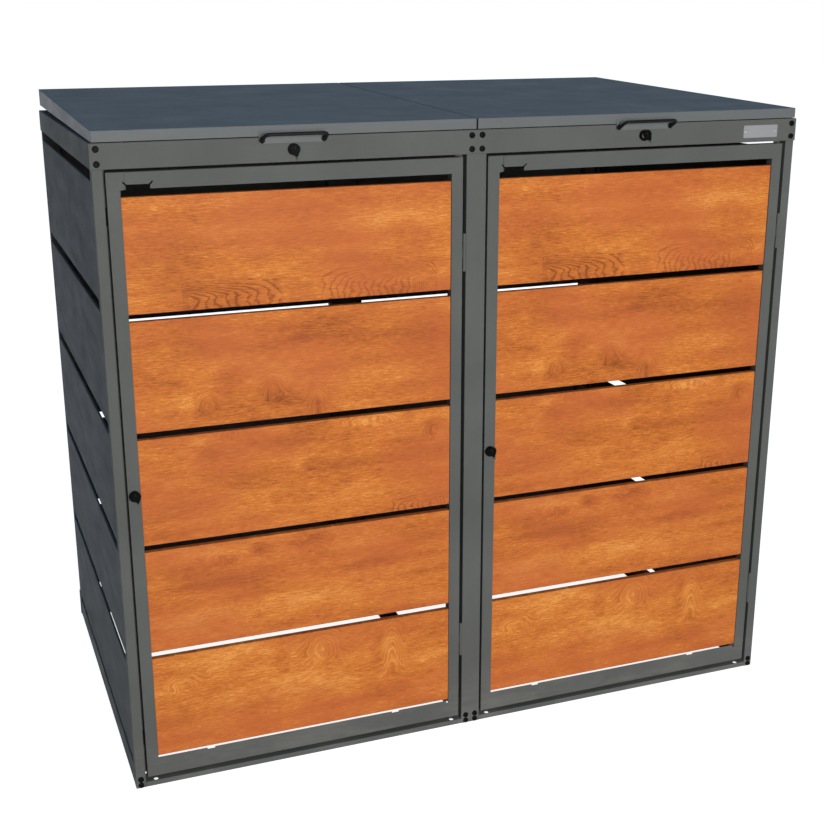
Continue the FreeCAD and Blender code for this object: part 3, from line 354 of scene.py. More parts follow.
# Darker and lighter places of the print, and two broad lifts of the lower panels that are painted light: the
# humps' columns, then the tone that each adds
GRAIN_TONES = [
    (4, 0.090, 0.990, 0.110, 0.120, -0.200),
    (4, 0.235, 0.995, 0.050, 0.016, -0.160),
    (4, 0.400, 0.985, 0.110, 0.018, -0.160),
    (4, 0.470, 1.050, 0.200, 0.100, 0.160),
    (4, 0.560, 0.960, 0.120, 0.060, 0.100),
    (4, 0.020, 0.930, 0.050, 0.060, 0.120),
    (3, 0.330, 0.850, 0.300, 0.045, -0.240),
    (3, 0.550, 0.830, 0.110, 0.070, -0.200),
    (3, 0.060, 0.780, 0.060, 0.024, -0.260),
    (3, 0.170, 0.775, 0.050, 0.050, -0.300),
    (3, 0.260, 0.742, 0.060, 0.034, -0.240),
    (3, 0.440, 0.765, 0.130, 0.040, 0.240),
    (3, 0.420, 0.722, 0.150, 0.020, -0.160),
    (3, 0.090, 0.740, 0.030, 0.040, 0.240),
    (3, 0.262, 0.780, 0.040, 0.022, 0.220),
    (2, 0.125, 0.650, 0.040, 0.030, -0.320),
    (2, 0.300, 0.650, 0.280, 0.024, -0.180),
    (2, 0.556, 0.645, 0.040, 0.030, -0.360),
    (2, 0.568, 0.632, 0.018, 0.018, 0.300),
    (2, 0.430, 0.677, 0.090, 0.016, 0.340),
    (2, 0.110, 0.672, 0.020, 0.012, 0.300),
    (2, 0.250, 0.678, 0.050, 0.016, 0.260),
    (2, 0.288, 0.605, 0.030, 0.036, 0.240),
    (2, 0.440, 0.560, 0.180, 0.040, 0.120),
    (2, 0.060, 0.545, 0.110, 0.030, -0.160),
    (1, 0.120, 0.455, 0.110, 0.016, 0.260),
    (1, 0.215, 0.452, 0.034, 0.026, -0.320),
    (1, 0.310, 0.455, 0.060, 0.026, -0.300),
    (1, 0.130, 0.400, 0.160, 0.030, -0.260),
    (1, 0.460, 0.385, 0.180, 0.024, -0.200),
    (1, 0.260, 0.330, 0.160, 0.050, 0.160),
    (1, 0.080, 0.320, 0.130, 0.055, 0.200),
    # Painted light: brightens the whole of panel 1 as if more light fell on the lower boards.
    (1, 0.300, 0.380, 0.480, 0.280, 0.060),
    (0, 0.120, 0.230, 0.160, 0.060, 0.220),
    (0, 0.060, 0.145, 0.110, 0.030, -0.240),
    (0, 0.245, 0.215, 0.026, 0.060, -0.200),
    (0, 0.320, 0.220, 0.026, 0.045, 0.240),
    (0, 0.260, 0.165, 0.160, 0.034, 0.200),
    (0, 0.440, 0.200, 0.024, 0.080, -0.180),
    (0, 0.465, 0.200, 0.024, 0.100, 0.160),
    (0, 0.400, 0.100, 0.160, 0.030, -0.220),
    # Painted light: brightens the whole of panel 0, the lowest board, as if more light fell on it.
    (0, 0.300, 0.170, 0.480, 0.280, 0.140),
    (0, 0.560, 0.150, 0.060, 0.040, 0.140),
]


def wood_decor():
    """Printed oak: level grain lines that bend round the figure, under a satin film.

    Cycles draws this material black when it holds many more places than it does here.
    """
    level_per_hump = -0.7
    ring_tone, fan_tone = -0.14, -0.36
    board = Finish("golden oak laminate", Specular_IOR_Level=0.12)
    place = board.node("ShaderNodeUVMap", uv_map="board").outputs[0]
    split = board.node("ShaderNodeSeparateXYZ")
    board.join(place, split.inputs[0])
    across, up = split.outputs["X"], split.outputs["Y"]

    def near(panel, u, v, half_width, half_height):
        """One in the middle of an oval place on the board, falling softly to nothing at its rim."""
        v += panel * PANEL_SHIFT
        middle = (-u / half_width, -v / half_height, 0)
        flat = board.stretched(1 / half_width, 1 / half_height, 0, source=place, move=middle)
        far = board.node("ShaderNodeVectorMath", operation="LENGTH")
        board.join(flat, far.inputs[0])
        return board.between(far.outputs["Value"], 1.0, 0.0, smooth=True)

    def along_grain(length, thickness, layer, detail=3.0):
        """Noise drawn out along the bent grain lines, this often to a metre."""
        made = board.node("ShaderNodeCombineXYZ")
        drawn_out = (board.math("MULTIPLY", across, length), board.math("MULTIPLY", level, thickness))
        for value, socket in zip(drawn_out + (layer,), made.inputs):
            board.join(value, socket)
        return board.noise(1.0, detail, 0.6, source=made.outputs[0])

    level = up
    figure = 0.0
    for *where, lift in GRAIN_HUMPS:
        hump = near(*where)
        level = board.math("MULTIPLY_ADD", hump, level_per_hump * lift, level)
        figure = board.math("MAXIMUM", hump, figure)
    sway = board.noise(1.0, 3.0, 0.6, source=board.stretched(7, 22, 1, source=place))
    level = board.math("MULTIPLY_ADD", sway, 0.016, level)
    curl = board.noise(1.0, 2.0, 0.5, source=board.stretched(34, 60, 1, source=place))
    fans = 0.0
    for panel, u, v, leftward, rightward, height, lines in GRAIN_FANS:
        away = board.math("SUBTRACT", across, u)
        to_left, to_right = board.between(away, -leftward, 0.0), board.between(away, rightward, 0.0)
        reach = board.math("MULTIPLY", to_left, to_right)
        above = board.math("SUBTRACT", up, v + panel * PANEL_SHIFT)
        above = board.math("MULTIPLY_ADD", curl, 0.012, above)
        cap = board.between(above, height, 0.5 * height, smooth=True)
        count = board.math("MULTIPLY", board.math("MULTIPLY", reach, cap), lines)
        count = board.math("MULTIPLY_ADD", curl, 2.2, count)
        line = board.between(board.math("PINGPONG", count, 0.5), 0.24, 0.44, smooth=True)
        edge = board.math("MULTIPLY", board.between(reach, 0.0, 0.05), board.between(cap, 0.02, 0.2))
        foot = board.between(above, -0.002, 0.0)
        fans = board.math("MAXIMUM", board.math("MULTIPLY", board.math("MULTIPLY", line, edge), foot), fans)
    curl = board.math("MULTIPLY", curl, board.between(figure, 0.0, 0.3, smooth=True))
    level = board.math("MULTIPLY_ADD", curl, 0.022, level)

    fine = along_grain(46, 420, 0)
    fibres = along_grain(120, 950, 2)
    bands = along_grain(3, 42, 4, detail=4.0)
    patches = board.stretched(7, 16, 1, source=place, move=(3, 5, 0))
    clouds = board.noise(1.0, 4.0, 0.6, source=patches, twist=0.5)

    rows = board.math("MULTIPLY_ADD", level, 82, board.math("MULTIPLY", bands, 1.6))
    ripple = board.math("PINGPONG", rows, 0.5)
    ring = board.between(ripple, 0.22, 0.46, smooth=True)
    ring = board.math("MULTIPLY", ring, board.between(figure, 0.0, 0.22, smooth=True))

    tone = 0.52
    for *where, step in GRAIN_TONES:
        tone = board.math("MULTIPLY_ADD", near(*where), step, tone)
    for value, weight in ((fine, 1.25), (fibres, 1.05), (bands, 0.7), (clouds, 1.0)):
        tone = board.math("MULTIPLY_ADD", board.math("SUBTRACT", value, 0.5), weight, tone)
    tone = board.math("MULTIPLY_ADD", ring, ring_tone, tone)
    tone = board.math("MULTIPLY_ADD", fans, fan_tone, tone)

    ramp = board.node("ShaderNodeValToRGB")
    stops = ramp.color_ramp.elements
    stops[0].position = 0.0
    stops[0].color = linear(142, 74, 31)
    stops[1].position = 1.0
    stops[1].color = linear(238, 160, 80)
    for position, colour in ((0.25, (176, 94, 41)), (0.5, (201, 112, 48)), (0.72, (216, 129, 56))):
        stops.new(position).color = linear(*colour)
    board.join(tone, ramp.inputs[0])
    blush = board.noise(1.0, 3.0, source=board.stretched(4, 8, 1, source=place, move=(9, 1, 0)))
    rosy = board.math("MULTIPLY", board.between(blush, 0.42, 0.62), 0.55)
    board.colour(board.mix(rosy, ramp.outputs[0], linear(196, 101, 56)))
    board.roughness(board.between(fine, 0.3, 0.7, 0.5, 0.62))
    board.bump(fine, 0.05 * MM, 0.25)
    return board.material


def black_coat(name, colour, roughness, specular=0.06):
    """A dull black skin, with fine grain."""
    made = Finish(name, Specular_IOR_Level=specular)
    grain = made.noise(1500.0, 2.0)
    made.colour(made.mix(made.noise(60.0, 3.0), colour, toned(colour, 1.6)))
    made.roughness(made.between(made.noise(220.0), 0.3, 0.7, roughness - 0.06, roughness + 0.1))
    made.bump(grain, 0.04 * MM, 0.3)
    return made.material


def bright_metal(name, colour, roughness, brushed=(40.0, 40.0, 900.0)):
    """Bare metal with brush lines square to the axis that has the largest of the three numbers."""
    made = Finish(name, Metallic=1.0)
    lines = made.noise(1.0, 3.0, 0.6, source=made.stretched(*brushed))
    made.colour(made.mix(lines, toned(colour, 0.85), colour))
    made.roughness(made.between(lines, 0.3, 0.7, roughness - 0.08, roughness + 0.1))
    made.bump(lines, 0.03 * MM, 0.4)
    return made.material


FINISHES["wood_decor"] = wood_decor()
FINISHES["black_fasteners"] = black_coat("blackened bolts", linear(11, 11, 11), 0.45)
FINISHES["black_locks"] = black_coat("black lock bodies", linear(5, 5, 5), 0.35, 0.04)
FINISHES["bright_steel"] = bright_metal("zinc plated steel", linear(170, 170, 172), 0.35)
FINISHES["plate_metal"] = bright_metal(
    "brushed aluminium plate", linear(150, 150, 150), 0.45, brushed=(900.0, 40.0, 30.0)
)
FINISHES["buffer_rubber"] = black_coat("buffer rubber", linear(26, 26, 26), 0.8)


# Sheet steel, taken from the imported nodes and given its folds
def along(axis, box, shortest=30 * MM):
    """Edges that run along an axis and lie on a corner of the box."""
    sides = [a for a in (X, Y, Z) if a != axis]

    def wanted(a, b):
        if (a - b).length < shortest or any(abs(a[s] - b[s]) > NEAR for s in sides):
            return False
        return all(any(abs(a[s] - corner[s]) < NEAR for corner in box) for s in sides)

    return wanted


def folded(node, wanted=None, work=None):
    """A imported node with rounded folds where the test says, broken cut edges and any further work."""
    piece = copy_of(node, node + "_folded")
    if wanted:
        fold(piece, wanted, FOLD_RADIUS)
    break_edges(piece)
    if work:
        work(piece)
    shade(piece)
    hand_over(piece, node)


def both_ends(node, axis):
    """Where a node's box starts and stops along an axis."""
    low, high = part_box(node)
    return low[axis], high[axis]


FRONT_POSTS = ["front_left_post", "front_mid_post", "front_right_post"]
REAR_POSTS = ["rear_left_post", "rear_mid_post", "rear_right_post"]
LONG_RAILS = ["front_top_rail", "rear_top_rail", "rear_bottom_rail", "left_sill", "right_sill"]
DEEP_RAILS = [f"{place}_{level}_rail" for level in ("top", "bottom") for place in ("left", "right", "mid")]
FASTENERS = ["frame_bolts", "frame_nuts", "nameplate_rivets"]
SMALL_PIECES = FASTENERS + ["nameplate", "left_lid_handle", "right_lid_handle"]

for node in FRONT_POSTS + REAR_POSTS:
    folded(node, along(Z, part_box(node)))
for node in LONG_RAILS:
    folded(node, along(X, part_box(node)))
for node in DEEP_RAILS:
    folded(node, along(Y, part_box(node)))

# The outer face of each wall: the axis it is square to, and which end of the box it is on
WALL_FACES = {"left_wall_panels": (X, 0), "right_wall_panels": (X, 1), "rear_wall_panels": (Y, 1)}
for node, (axis, end) in WALL_FACES.items():
    folded(node, in_plane(axis, both_ends(node, axis)[end]))

# The doors: each window's left edge, and the two welds that show beside it as sunk lines
WINDOW_LEFT = {"left": -639.5 * MM, "right": 46 * MM}
WINDOW_WIDTH = 590.9 * MM
WINDOW_TOP = 1123 * MM
WELD = (1.1 * MM, 0.9 * MM)
OPEN_WELD = (1.9 * MM, 1.4 * MM)

for side, left in WINDOW_LEFT.items():

    def print_board(piece):
        """Lays the board print on the panels: across the window, and up with a step at each panel."""
        board = piece.data.uv_layers.new(name="board")
        panels = solids_of(f"{side}_door_panels")
        for loop in piece.data.loops:
            corner = piece.data.vertices[loop.vertex_index].co
            panel = next(n for n, (low, high) in enumerate(panels) if corner.z < high.z + NEAR)
            board.data[loop.index].uv = (corner.x - left, corner.z + panel * PANEL_SHIFT)

    folded(f"{side}_door_panels", in_plane(Y, both_ends(f"{side}_door_panels", Y)[0]), print_board)

    def weld_lines(piece):
        """A narrow sunk line where the top rail butts against each stile."""
        top = both_ends(f"{side}_door_frame", Z)[1]
        face = both_ends(f"{side}_door_frame", Y)[0]
        left_weld = OPEN_WELD if side == "right" else WELD
        seams = ((left + 6.4 * MM, left_weld), (left + WINDOW_WIDTH + 1.5 * MM, WELD))
        start_editing(piece, "FACE")
        for seam, (width, depth) in seams:
            for cut in (seam, seam + width):
                bpy.ops.mesh.select_all(action="SELECT")
                bpy.ops.mesh.bisect(plane_co=(cut, 0, 0), plane_no=(1, 0, 0))
            picked = pick_faces(
                piece,
                lambda centre, normal: normal.y < -0.9
                and abs(centre.y - face) < NEAR
                and seam < centre.x < seam + width
                and WINDOW_TOP < centre.z < top,
            )
            if picked:
                pull(0, depth, 0)
        stop_editing()

    folded(f"{side}_door_frame", in_plane(Y, both_ends(f"{side}_door_frame", Y)[0]), weld_lines)

LID_SHEET = 1215 * MM
for node in ("left_lid", "right_lid"):
    low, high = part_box(node)

    def outside(a, b):
        """The lid's four corners and the edges round its top sheet."""
        if (a - b).length < 15 * MM:
            return False
        sides = [abs(a.x - x) < NEAR and abs(b.x - x) < NEAR for x in (low.x, high.x)]
        ends = [abs(a.y - y) < NEAR and abs(b.y - y) < NEAR for y in (low.y, high.y)]
        upper = min(a.z, b.z) > LID_SHEET
        return (any(sides) and any(ends)) or (upper and (any(sides) or any(ends)))

    folded(node, outside)

HANDLED = set(FRONT_POSTS + REAR_POSTS + LONG_RAILS + DEEP_RAILS + SMALL_PIECES + list(WALL_FACES))
for side in ("left", "right"):
    HANDLED |= {f"{side}_door_panels", f"{side}_door_frame", f"{side}_lid"}
    HANDLED |= {f"{side}_door_lock_cover", f"{side}_lid_lock_cover"}
for node in frame["nodes"]:
    if node not in HANDLED:
        folded(node)


# Small pieces, modelled standing on z = 0 and then set out
def named(name):
    """Names the piece just added and makes its placing part of its shape."""
    piece = bpy.context.object
    piece.name = name
    bpy.ops.object.transform_apply(location=True, rotation=True, scale=True)
    return piece


def cylinder(name, radius, height, middle, sides=24):
    bpy.ops.object.select_all(action="DESELECT")
    bpy.ops.mesh.primitive_cylinder_add(vertices=sides, radius=radius, depth=height, location=middle)
    return named(name)


def block(name, size, middle):
    bpy.ops.object.select_all(action="DESELECT")
    bpy.ops.mesh.primitive_cube_add(size=1, location=middle, scale=size)
    return named(name)


def above(height):
    """Edges that lie wholly higher than this."""
    return lambda a, b: min(a.z, b.z) > height


def set_out(piece, name, places):
    """Copies a finished piece to each place, makes one object of them and drops the first."""
    copies = []
    for place in places:
        twin = bpy.data.objects.new(name, piece.data.copy())
        bpy.context.scene.collection.objects.link(twin)
        twin.data.transform(place)
        copies.append(twin)
    bpy.data.objects.remove(piece)
    select_only(*copies)
    bpy.ops.object.join()
    whole = bpy.context.object
    whole.name = name
    return whole


def grow(piece, wanted, scale, centre, shift=(0, 0, 0)):
    """Scales the vertices that pass the test about a centre, then moves them."""
    bpy.ops.mesh.select_mode(type="VERT")
    bpy.ops.mesh.select_all(action="DESELECT")
    mesh = bmesh.from_edit_mesh(piece.data)
    for vert in mesh.verts:
        vert.select_set(wanted(vert.co))
    bmesh.update_edit_mesh(piece.data)
    bpy.ops.transform.resize(value=scale, center_override=centre)
    bpy.ops.transform.translate(value=shift)
    bpy.ops.mesh.select_mode(type="FACE")


def level_face(height, up=1):
    """Faces at this height that look up, or down with up = -1."""
    return lambda centre, normal: abs(centre.z - height) < NEAR and normal.z * up > 0.9


def sunk_hexagon(piece, radius, height, depth):
    """Turns a round inner face into a six-sided one and sinks it, as a key socket."""

    def at(*turns):
        def wanted(co):
            ring = abs(math.hypot(co.x, co.y) - radius) < 0.05 * MM and abs(co.z - height) < NEAR
            return ring and round(math.degrees(math.atan2(co.y, co.x))) % 60 in turns

        return wanted

    flat = math.cos(math.radians(30))
    quarter = flat / math.cos(math.radians(15))
    grow(piece, at(30), (flat, flat, 1), (0, 0, height))
    grow(piece, at(15, 45), (quarter, quarter, 1), (0, 0, height))
    pick_faces(piece, lambda c, n: level_face(height)(c, n) and c.to_2d().length < 0.3 * MM)
    pull(0, 0, -depth)


BOLT_HEAD_HEIGHT = 3.2 * MM
RIVET_HEAD_HEIGHT = 0.8 * MM


def button_head_bolt():
    """M6 button head with a key socket, on its shank."""
    head, shank, length, tip = 5.5 * MM, 3.0 * MM, 12.0 * MM, 0.5 * MM
    dome, socket, socket_depth = 2.1 * MM, 2.31 * MM, 1.9 * MM
    bolt = cylinder("button_head_bolt", head, BOLT_HEAD_HEIGHT, (0, 0, BOLT_HEAD_HEIGHT / 2))
    start_editing(bolt)
    pick_edges(bolt, above(BOLT_HEAD_HEIGHT - NEAR))
    bpy.ops.mesh.bevel(offset=dome, segments=4, profile=0.5)
    bpy.ops.mesh.select_mode(type="FACE")
    pick_faces(bolt, level_face(BOLT_HEAD_HEIGHT))
    bpy.ops.mesh.inset(thickness=head - dome - socket)
    sunk_hexagon(bolt, socket, BOLT_HEAD_HEIGHT, socket_depth)
    pick_faces(bolt, level_face(0, -1))
    bpy.ops.mesh.inset(thickness=head - shank)
    pull(0, 0, tip - length)
    pull(0, 0, -tip)
    bpy.ops.transform.resize(value=(0.82, 0.82, 1), center_override=(0, 0, -length))
    stop_editing()
    return bolt


def hexagon_nut(corner, height, bore):
    """Chamfered nut with a sunk ring round its bore; corner and bore are radii."""
    nut = cylinder("hexagon_nut", corner, height, (0, 0, height / 2), sides=6)
    start_editing(nut)
    for level in (0, height):
        pick_edges(nut, lambda a, b: abs(a.z - level) < NEAR and abs(b.z - level) < NEAR)
        bpy.ops.mesh.bevel(offset=0.55 * MM, segments=2)
    bpy.ops.mesh.select_mode(type="FACE")
    pick_faces(nut, level_face(height))
    bpy.ops.mesh.inset(thickness=corner * 0.8 - bore)
    pull(0, 0, -0.6 * MM)
    stop_editing()
    return nut


def domed_rivet():
    """The nameplate's rivet: a low dome on its shank."""
    head, shank, length = 3.2 * MM, 1.6 * MM, 3.1 * MM
    rivet = cylinder("domed_rivet", head, RIVET_HEAD_HEIGHT, (0, 0, RIVET_HEAD_HEIGHT / 2))
    start_editing(rivet)
    pick_edges(rivet, above(RIVET_HEAD_HEIGHT - NEAR))
    bpy.ops.mesh.bevel(offset=RIVET_HEAD_HEIGHT * 0.9, segments=4)
    bpy.ops.mesh.select_mode(type="FACE")
    pick_faces(rivet, level_face(0, -1))
    bpy.ops.mesh.inset(thickness=head - shank)
    pull(0, 0, -length)
    stop_editing()
    return rivet


def facing(box, towards, seat):
    """Where a small piece goes: the middle of a box across, its own z = 0 on the seat plane."""
    low, high = box
    turn = Matrix.Rotation(math.radians(90 if towards == "front" else -90), 4, "X")
    return Matrix.Translation(((low.x + high.x) / 2, seat, (low.z + high.z) / 2)) @ turn


def fasteners():
    """Bolts with their heads outward, nuts against the inside, and the nameplate's rivets."""
    bolts = []
    for box in solids_of("frame_bolts"):
        front = box[0].y < 0
        seat = box[0].y + BOLT_HEAD_HEIGHT if front else box[1].y - BOLT_HEAD_HEIGHT
        bolts.append(facing(box, "front" if front else "back", seat))
    whole = set_out(button_head_bolt(), "button_head_bolts", bolts)
    shade(whole, 35)
    hand_over(whole, "frame_bolts")
    nuts = []
    for box in solids_of("frame_nuts"):
        front = box[0].y < 0
        seat = box[0].y if front else box[1].y
        nuts.append(facing(box, "back" if front else "front", seat))
    whole = set_out(hexagon_nut(corner=4.6 * MM, height=5 * MM, bore=3.05 * MM), "hexagon_nuts", nuts)
    shade(whole, 25)
    hand_over(whole, "frame_nuts")
    rivets = [facing(box, "front", box[0].y + RIVET_HEAD_HEIGHT) for box in solids_of("nameplate_rivets")]
    whole = set_out(domed_rivet(), "plate_rivets", rivets)
    shade(whole, 60)
    hand_over(whole, "nameplate_rivets", "bright_steel")


def blank_plate():
    """The nameplate, bare, with rounded corners."""
    plate = copy_of("nameplate", "blank_plate")
    fold(plate, along(Y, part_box("nameplate"), 0.2 * MM), 2.0 * MM, 4)
    break_edges(plate, 0.15 * MM)
    shade(plate)
    hand_over(plate, "nameplate")


def bow_handle(side):
    """A bent round bar on two small feet, welded to a plate that hangs from the lid."""
    low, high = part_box(f"{side}_lid_handle")
    centre = (low.x + high.x) / 2
    plate_middle, plate_sheet = -396 * MM, 1.5 * MM
    plate_front = plate_middle - plate_sheet / 2
    half, bend, radius, root = 55 * MM, 9 * MM, 3 * MM, 0.2 * MM
    foot = Vector((0, plate_front, low.z + 3.3 * MM))
    bar = Vector((0, low.y + radius, 1206.5 * MM))
    run = bar - foot
    straight = run.length - bend

    bpy.ops.object.select_all(action="DESELECT")
    upright = (math.radians(90), 0, 0)
    bpy.ops.mesh.primitive_circle_add(
        vertices=18, radius=radius, fill_type="NGON", location=(-half, -root, 0), rotation=upright
    )
    bow = named(f"{side}_bow")
    start_editing(bow)
    bpy.ops.mesh.select_all(action="SELECT")
    pull(0, straight + root, 0)
    bpy.ops.mesh.spin(steps=7, angle=math.radians(90), center=(-half + bend, straight, 0), axis=(0, 0, 1))
    pull(2 * (half - bend), 0, 0)
    bpy.ops.mesh.spin(steps=7, angle=math.radians(90), center=(half - bend, straight, 0), axis=(0, 0, 1))
    pull(0, -(straight + root), 0)
    bpy.ops.mesh.select_all(action="SELECT")
    bpy.ops.mesh.remove_doubles(threshold=0.01 * MM)
    bpy.ops.mesh.normals_make_consistent(inside=False)
    stop_editing()
    lean = Vector((0, 1, 0)).rotation_difference(run).to_matrix().to_4x4()
    bow.data.transform(Matrix.Translation((centre, foot.y, foot.z)) @ lean)

    boss_height = 2.4 * MM
    boss = cylinder("foot_boss", 5.2 * MM, boss_height, (0, 0, boss_height / 2))
    start_editing(boss)
    pick_edges(boss, above(boss_height - NEAR))
    bpy.ops.mesh.bevel(offset=1.2 * MM, segments=3)
    stop_editing()
    up_front = Matrix.Rotation(math.radians(90), 4, "X")
    lift = foot.z + boss_height
    feet = [Matrix.Translation((centre + x, foot.y, lift)) @ up_front for x in (-half, half)]
    bosses = set_out(boss, f"{side}_handle_feet", feet)
    select_only(bow, bosses)
    bpy.ops.object.join()
    shade(bow, 50)
    hand_over(bow, f"{side}_lid_handle")

    plate_size = (120 * MM, plate_sheet, 21 * MM)
    plate = block(f"{side}_handle_plate", plate_size, (centre, plate_middle, 1200 * MM))
    fold(plate, lambda a, b: abs(a.x - b.x) < NEAR and abs(a.z - b.z) < NEAR, 1.5 * MM)
    fold(plate, lambda a, b: max(a.y, b.y) < plate_front + 0.05 * MM, 0.3 * MM, 2)
    shade(plate)
    hand_over(plate, f"{side}_lid_handle", "lid_paint")


# How far each cover leans to the right of plumb, in degrees
COVER_TILT = {"left_lid_lock": 15, "right_lid_lock": 37, "left_door_lock": 15, "right_door_lock": 24}
JOINTS = {joint["name"]: joint for joint in frame["record"]["behaviour"]["joints"]}


def standing(a, b):
    """Edges that rise from a block's foot to its top."""
    return abs(a.z - b.z) > 0.5 * MM


def dust_cover(lock):
    """A black drop that hangs from a pin, with a nib to push it aside whose lighter grey is a painted
    highlight, and a thin grey strip below that is a painted shadow.
    """
    node = f"{lock}_cover"
    low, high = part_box(node)
    radius, shoulder, pin_rise = 9.0 * MM, 6.2 * MM, 7.3 * MM
    sheet = high.y - low.y
    pivot = Vector(JOINTS[f"{lock}_cover_swing"]["pos_m"])
    drop = cylinder(node + "_drop", radius, sheet, (0, 0, sheet / 2), sides=36)
    start_editing(drop)
    grow(drop, lambda co: co.y < -shoulder, (0.36, 0.8, 1), (0, -shoulder, 0), (0, -5.2 * MM, 0))
    bpy.ops.mesh.select_mode(type="EDGE")
    pick_edges(drop, above(sheet - NEAR))
    bpy.ops.mesh.bevel(offset=0.4 * MM, segments=2)
    stop_editing()
    shade(drop, 35)

    pin = cylinder(node + "_pin", 1.7 * MM, 0.9 * MM, (0, pin_rise, sheet + 0.2 * MM), sides=20)
    fold(pin, above(sheet + 0.6 * MM), 0.5 * MM)
    select_only(drop, pin)
    bpy.ops.object.join()

    # The nib's lighter grey against the black drop is a painted highlight.
    highlight_nib = block(node + "_highlight_nib", (1.9 * MM, 5.4 * MM, 1.0 * MM), (0, 2.6 * MM, sheet + 0.3 * MM))
    fold(highlight_nib, standing, 0.9 * MM, 4)
    fold(highlight_nib, above(sheet + 0.7 * MM), 0.4 * MM)
    shade(highlight_nib, 60)

    # A thin grey strip below the drop: a painted shadow of the cover on the paint beneath it.
    painted_shadow_strip = block(node + "_tail", (2.6 * MM, 7.0 * MM, 0.8 * MM), (0, -15.5 * MM, sheet / 2))
    fold(painted_shadow_strip, standing, 1.1 * MM)
    fold(painted_shadow_strip, above(sheet / 2), 0.25 * MM, 2)
    shade(painted_shadow_strip, 60)

    pin_seat = Matrix.Translation((pivot.x, high.y, pivot.z))
    lean = Matrix.Rotation(math.radians(-COVER_TILT[lock]), 4, "Y")
    hang = pin_seat @ lean @ Matrix.Translation((0, 0, -pin_rise)) @ Matrix.Rotation(math.radians(90), 4, "X")
    # Black drop; the nib's grey is a painted highlight and the strip's grey a painted shadow.
    for piece, finish in ((drop, "black_locks"), (highlight_nib, "handle_paint"), (painted_shadow_strip, "frame_paint")):
        piece.data.transform(hang)
        hand_over(piece, node, finish)


fasteners()
blank_plate()
for lock in COVER_TILT:
    dust_cover(lock)
for side in ("left", "right"):
    bow_handle(side)


# Camera, solved from the straight edges of the photograph
FOCAL_LENGTH_PIXELS = 1302.79
PHOTO_HEIGHT_PIXELS = 825
SENSOR_HEIGHT = 36.0


def camera():
    lens = bpy.data.cameras.new("photo camera")
    lens.sensor_fit = "VERTICAL"
    lens.sensor_height = SENSOR_HEIGHT
    lens.lens = FOCAL_LENGTH_PIXELS / PHOTO_HEIGHT_PIXELS * SENSOR_HEIGHT
    lens.clip_end = 200.0
    holder = bpy.data.objects.new("photo camera", lens)
    bpy.context.scene.collection.objects.link(holder)
    holder.location = (-0.9546, -2.5838, 1.40266)
    holder.rotation_euler = [math.radians(a) for a in (72.90116, 0.14013, -20.75533)]
    bpy.context.scene.camera = holder


# Studio
def floor():
    """A wide pale floor that looks white to the camera and still takes a soft shadow."""
    bpy.ops.object.select_all(action="DESELECT")
    bpy.ops.mesh.primitive_plane_add(size=60.0, location=(0, 0, -0.5 * MM))
    ground = bpy.context.object
    ground.name = "studio_floor"
    look = bpy.data.materials.new("pale studio floor")
    look.use_nodes = True
    tree = look.node_tree
    shader = tree.nodes["Principled BSDF"]
    shader.inputs["Base Color"].default_value = (0.38, 0.38, 0.38, 1)
    shader.inputs["Roughness"].default_value = 0.9
    shader.inputs["Specular IOR Level"].default_value = 0.0
    path = tree.nodes.new("ShaderNodeLightPath")
    seen = tree.nodes.new("ShaderNodeMath")
    seen.operation = "MAXIMUM"
    tree.links.new(path.outputs["Is Camera Ray"], seen.inputs[0])
    tree.links.new(path.outputs["Is Glossy Ray"], seen.inputs[1])
    lift = tree.nodes.new("ShaderNodeMath")
    lift.operation = "MULTIPLY"
    lift.inputs[1].default_value = 0.94
    tree.links.new(seen.outputs[0], lift.inputs[0])
    shader.inputs["Emission Color"].default_value = (1, 1, 1, 1)
    tree.links.new(lift.outputs[0], shader.inputs["Emission Strength"])
    ground.data.materials.append(look)


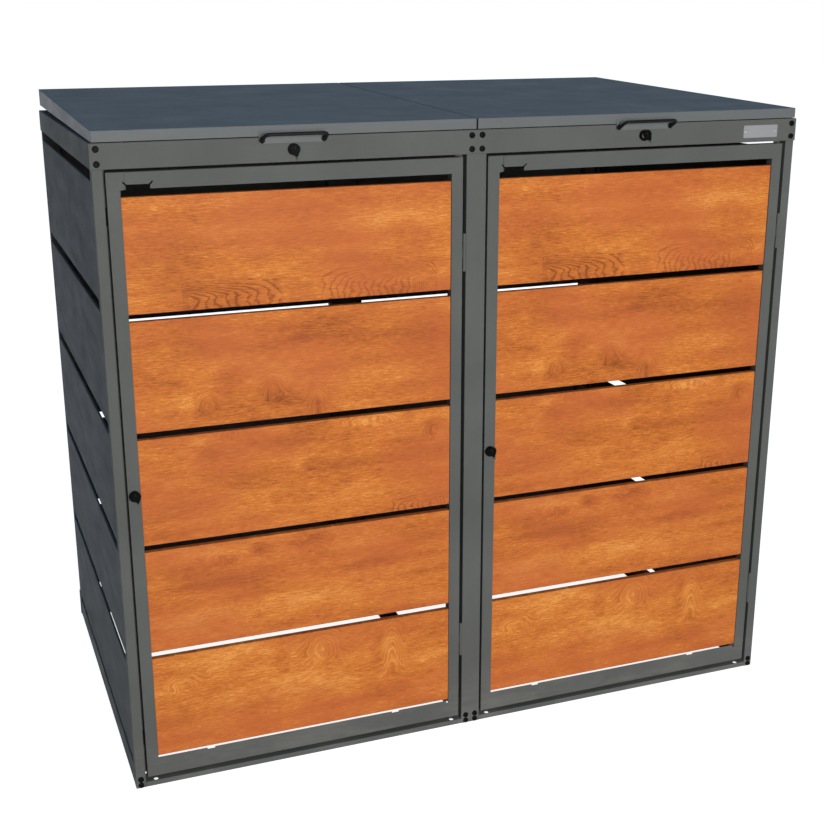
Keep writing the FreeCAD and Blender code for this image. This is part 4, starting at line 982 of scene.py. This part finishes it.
def world():
    """Soft light that is bluer from above, a pale horizon in the paint, white behind everything."""
    sky = bpy.data.worlds.new("studio")
    bpy.context.scene.world = sky
    sky.use_nodes = True
    tree = sky.node_tree
    nodes, link = tree.nodes, tree.links.new
    nodes.clear()
    out = nodes.new("ShaderNodeOutputWorld")
    way = nodes.new("ShaderNodeTexCoord")
    split = nodes.new("ShaderNodeSeparateXYZ")
    link(way.outputs["Generated"], split.inputs[0])
    path = nodes.new("ShaderNodeLightPath")

    def ramp(*stops):
        """A background that changes colour with height: each stop is a height and a colour."""
        made = nodes.new("ShaderNodeValToRGB")
        made.color_ramp.elements.remove(made.color_ramp.elements[0])
        made.color_ramp.elements[0].position = stops[0][0]
        made.color_ramp.elements[0].color = stops[0][1] + (1,)
        for place, colour in stops[1:]:
            made.color_ramp.elements.new(place).color = colour + (1,)
        link(split.outputs["Z"], made.inputs[0])
        shade_of = nodes.new("ShaderNodeBackground")
        link(made.outputs[0], shade_of.inputs[0])
        return shade_of

    def choose(ray, other, chosen):
        """One background for this kind of ray and another for the rest."""
        made = nodes.new("ShaderNodeMixShader")
        link(path.outputs[ray], made.inputs[0])
        link(other, made.inputs[1])
        link(chosen, made.inputs[2])
        return made.outputs[0]

    white = (1, 1, 1)
    high_blue = (0.215, 0.355, 0.575)
    light = ramp((0.0, (0.05, 0.05, 0.05)), (0.35, (0.055, 0.062, 0.07)), (0.8, high_blue), (1.0, high_blue))
    mirrored = ramp((0.0, white), (0.03, white), (0.12, (0.2, 0.26, 0.34)), (1.0, (0.12, 0.17, 0.24)))
    backdrop = nodes.new("ShaderNodeBackground")
    backdrop.inputs[0].default_value = white + (1,)
    shown = choose("Is Glossy Ray", light.outputs[0], mirrored.outputs[0])
    for ray in ("Is Transmission Ray", "Is Camera Ray"):
        shown = choose(ray, shown, backdrop.outputs[0])
    link(shown, out.inputs[0])


def softbox(name, place, target, size, watts, colour, mirrored=True):
    """A round lamp that points at its target; the camera never sees it, shiny paint can."""
    lamp = bpy.data.lights.new(name, "AREA")
    lamp.shape = "DISK"
    lamp.size = size
    lamp.energy = watts
    lamp.color = colour
    holder = bpy.data.objects.new(name, lamp)
    holder.visible_camera = False
    holder.visible_glossy = mirrored
    bpy.context.scene.collection.objects.link(holder)
    holder.location = place
    holder.rotation_euler = (Vector(target) - Vector(place)).to_track_quat("-Z", "Y").to_euler()


camera()
floor()
world()
WARM_WHITE, COOL_WHITE = (1.0, 0.985, 0.96), (0.97, 0.98, 1.0)
softbox("key softbox", (-0.2, -6.2, 1.7), (0, -0.4, 0.5), 2.4, 300, WARM_WHITE)
softbox("back fill", (2.4, 6.0, 2.2), (0, 0.4, 0.6), 3.0, 75, COOL_WHITE, mirrored=False)
bpy.context.scene.view_settings.view_transform = "Standard"
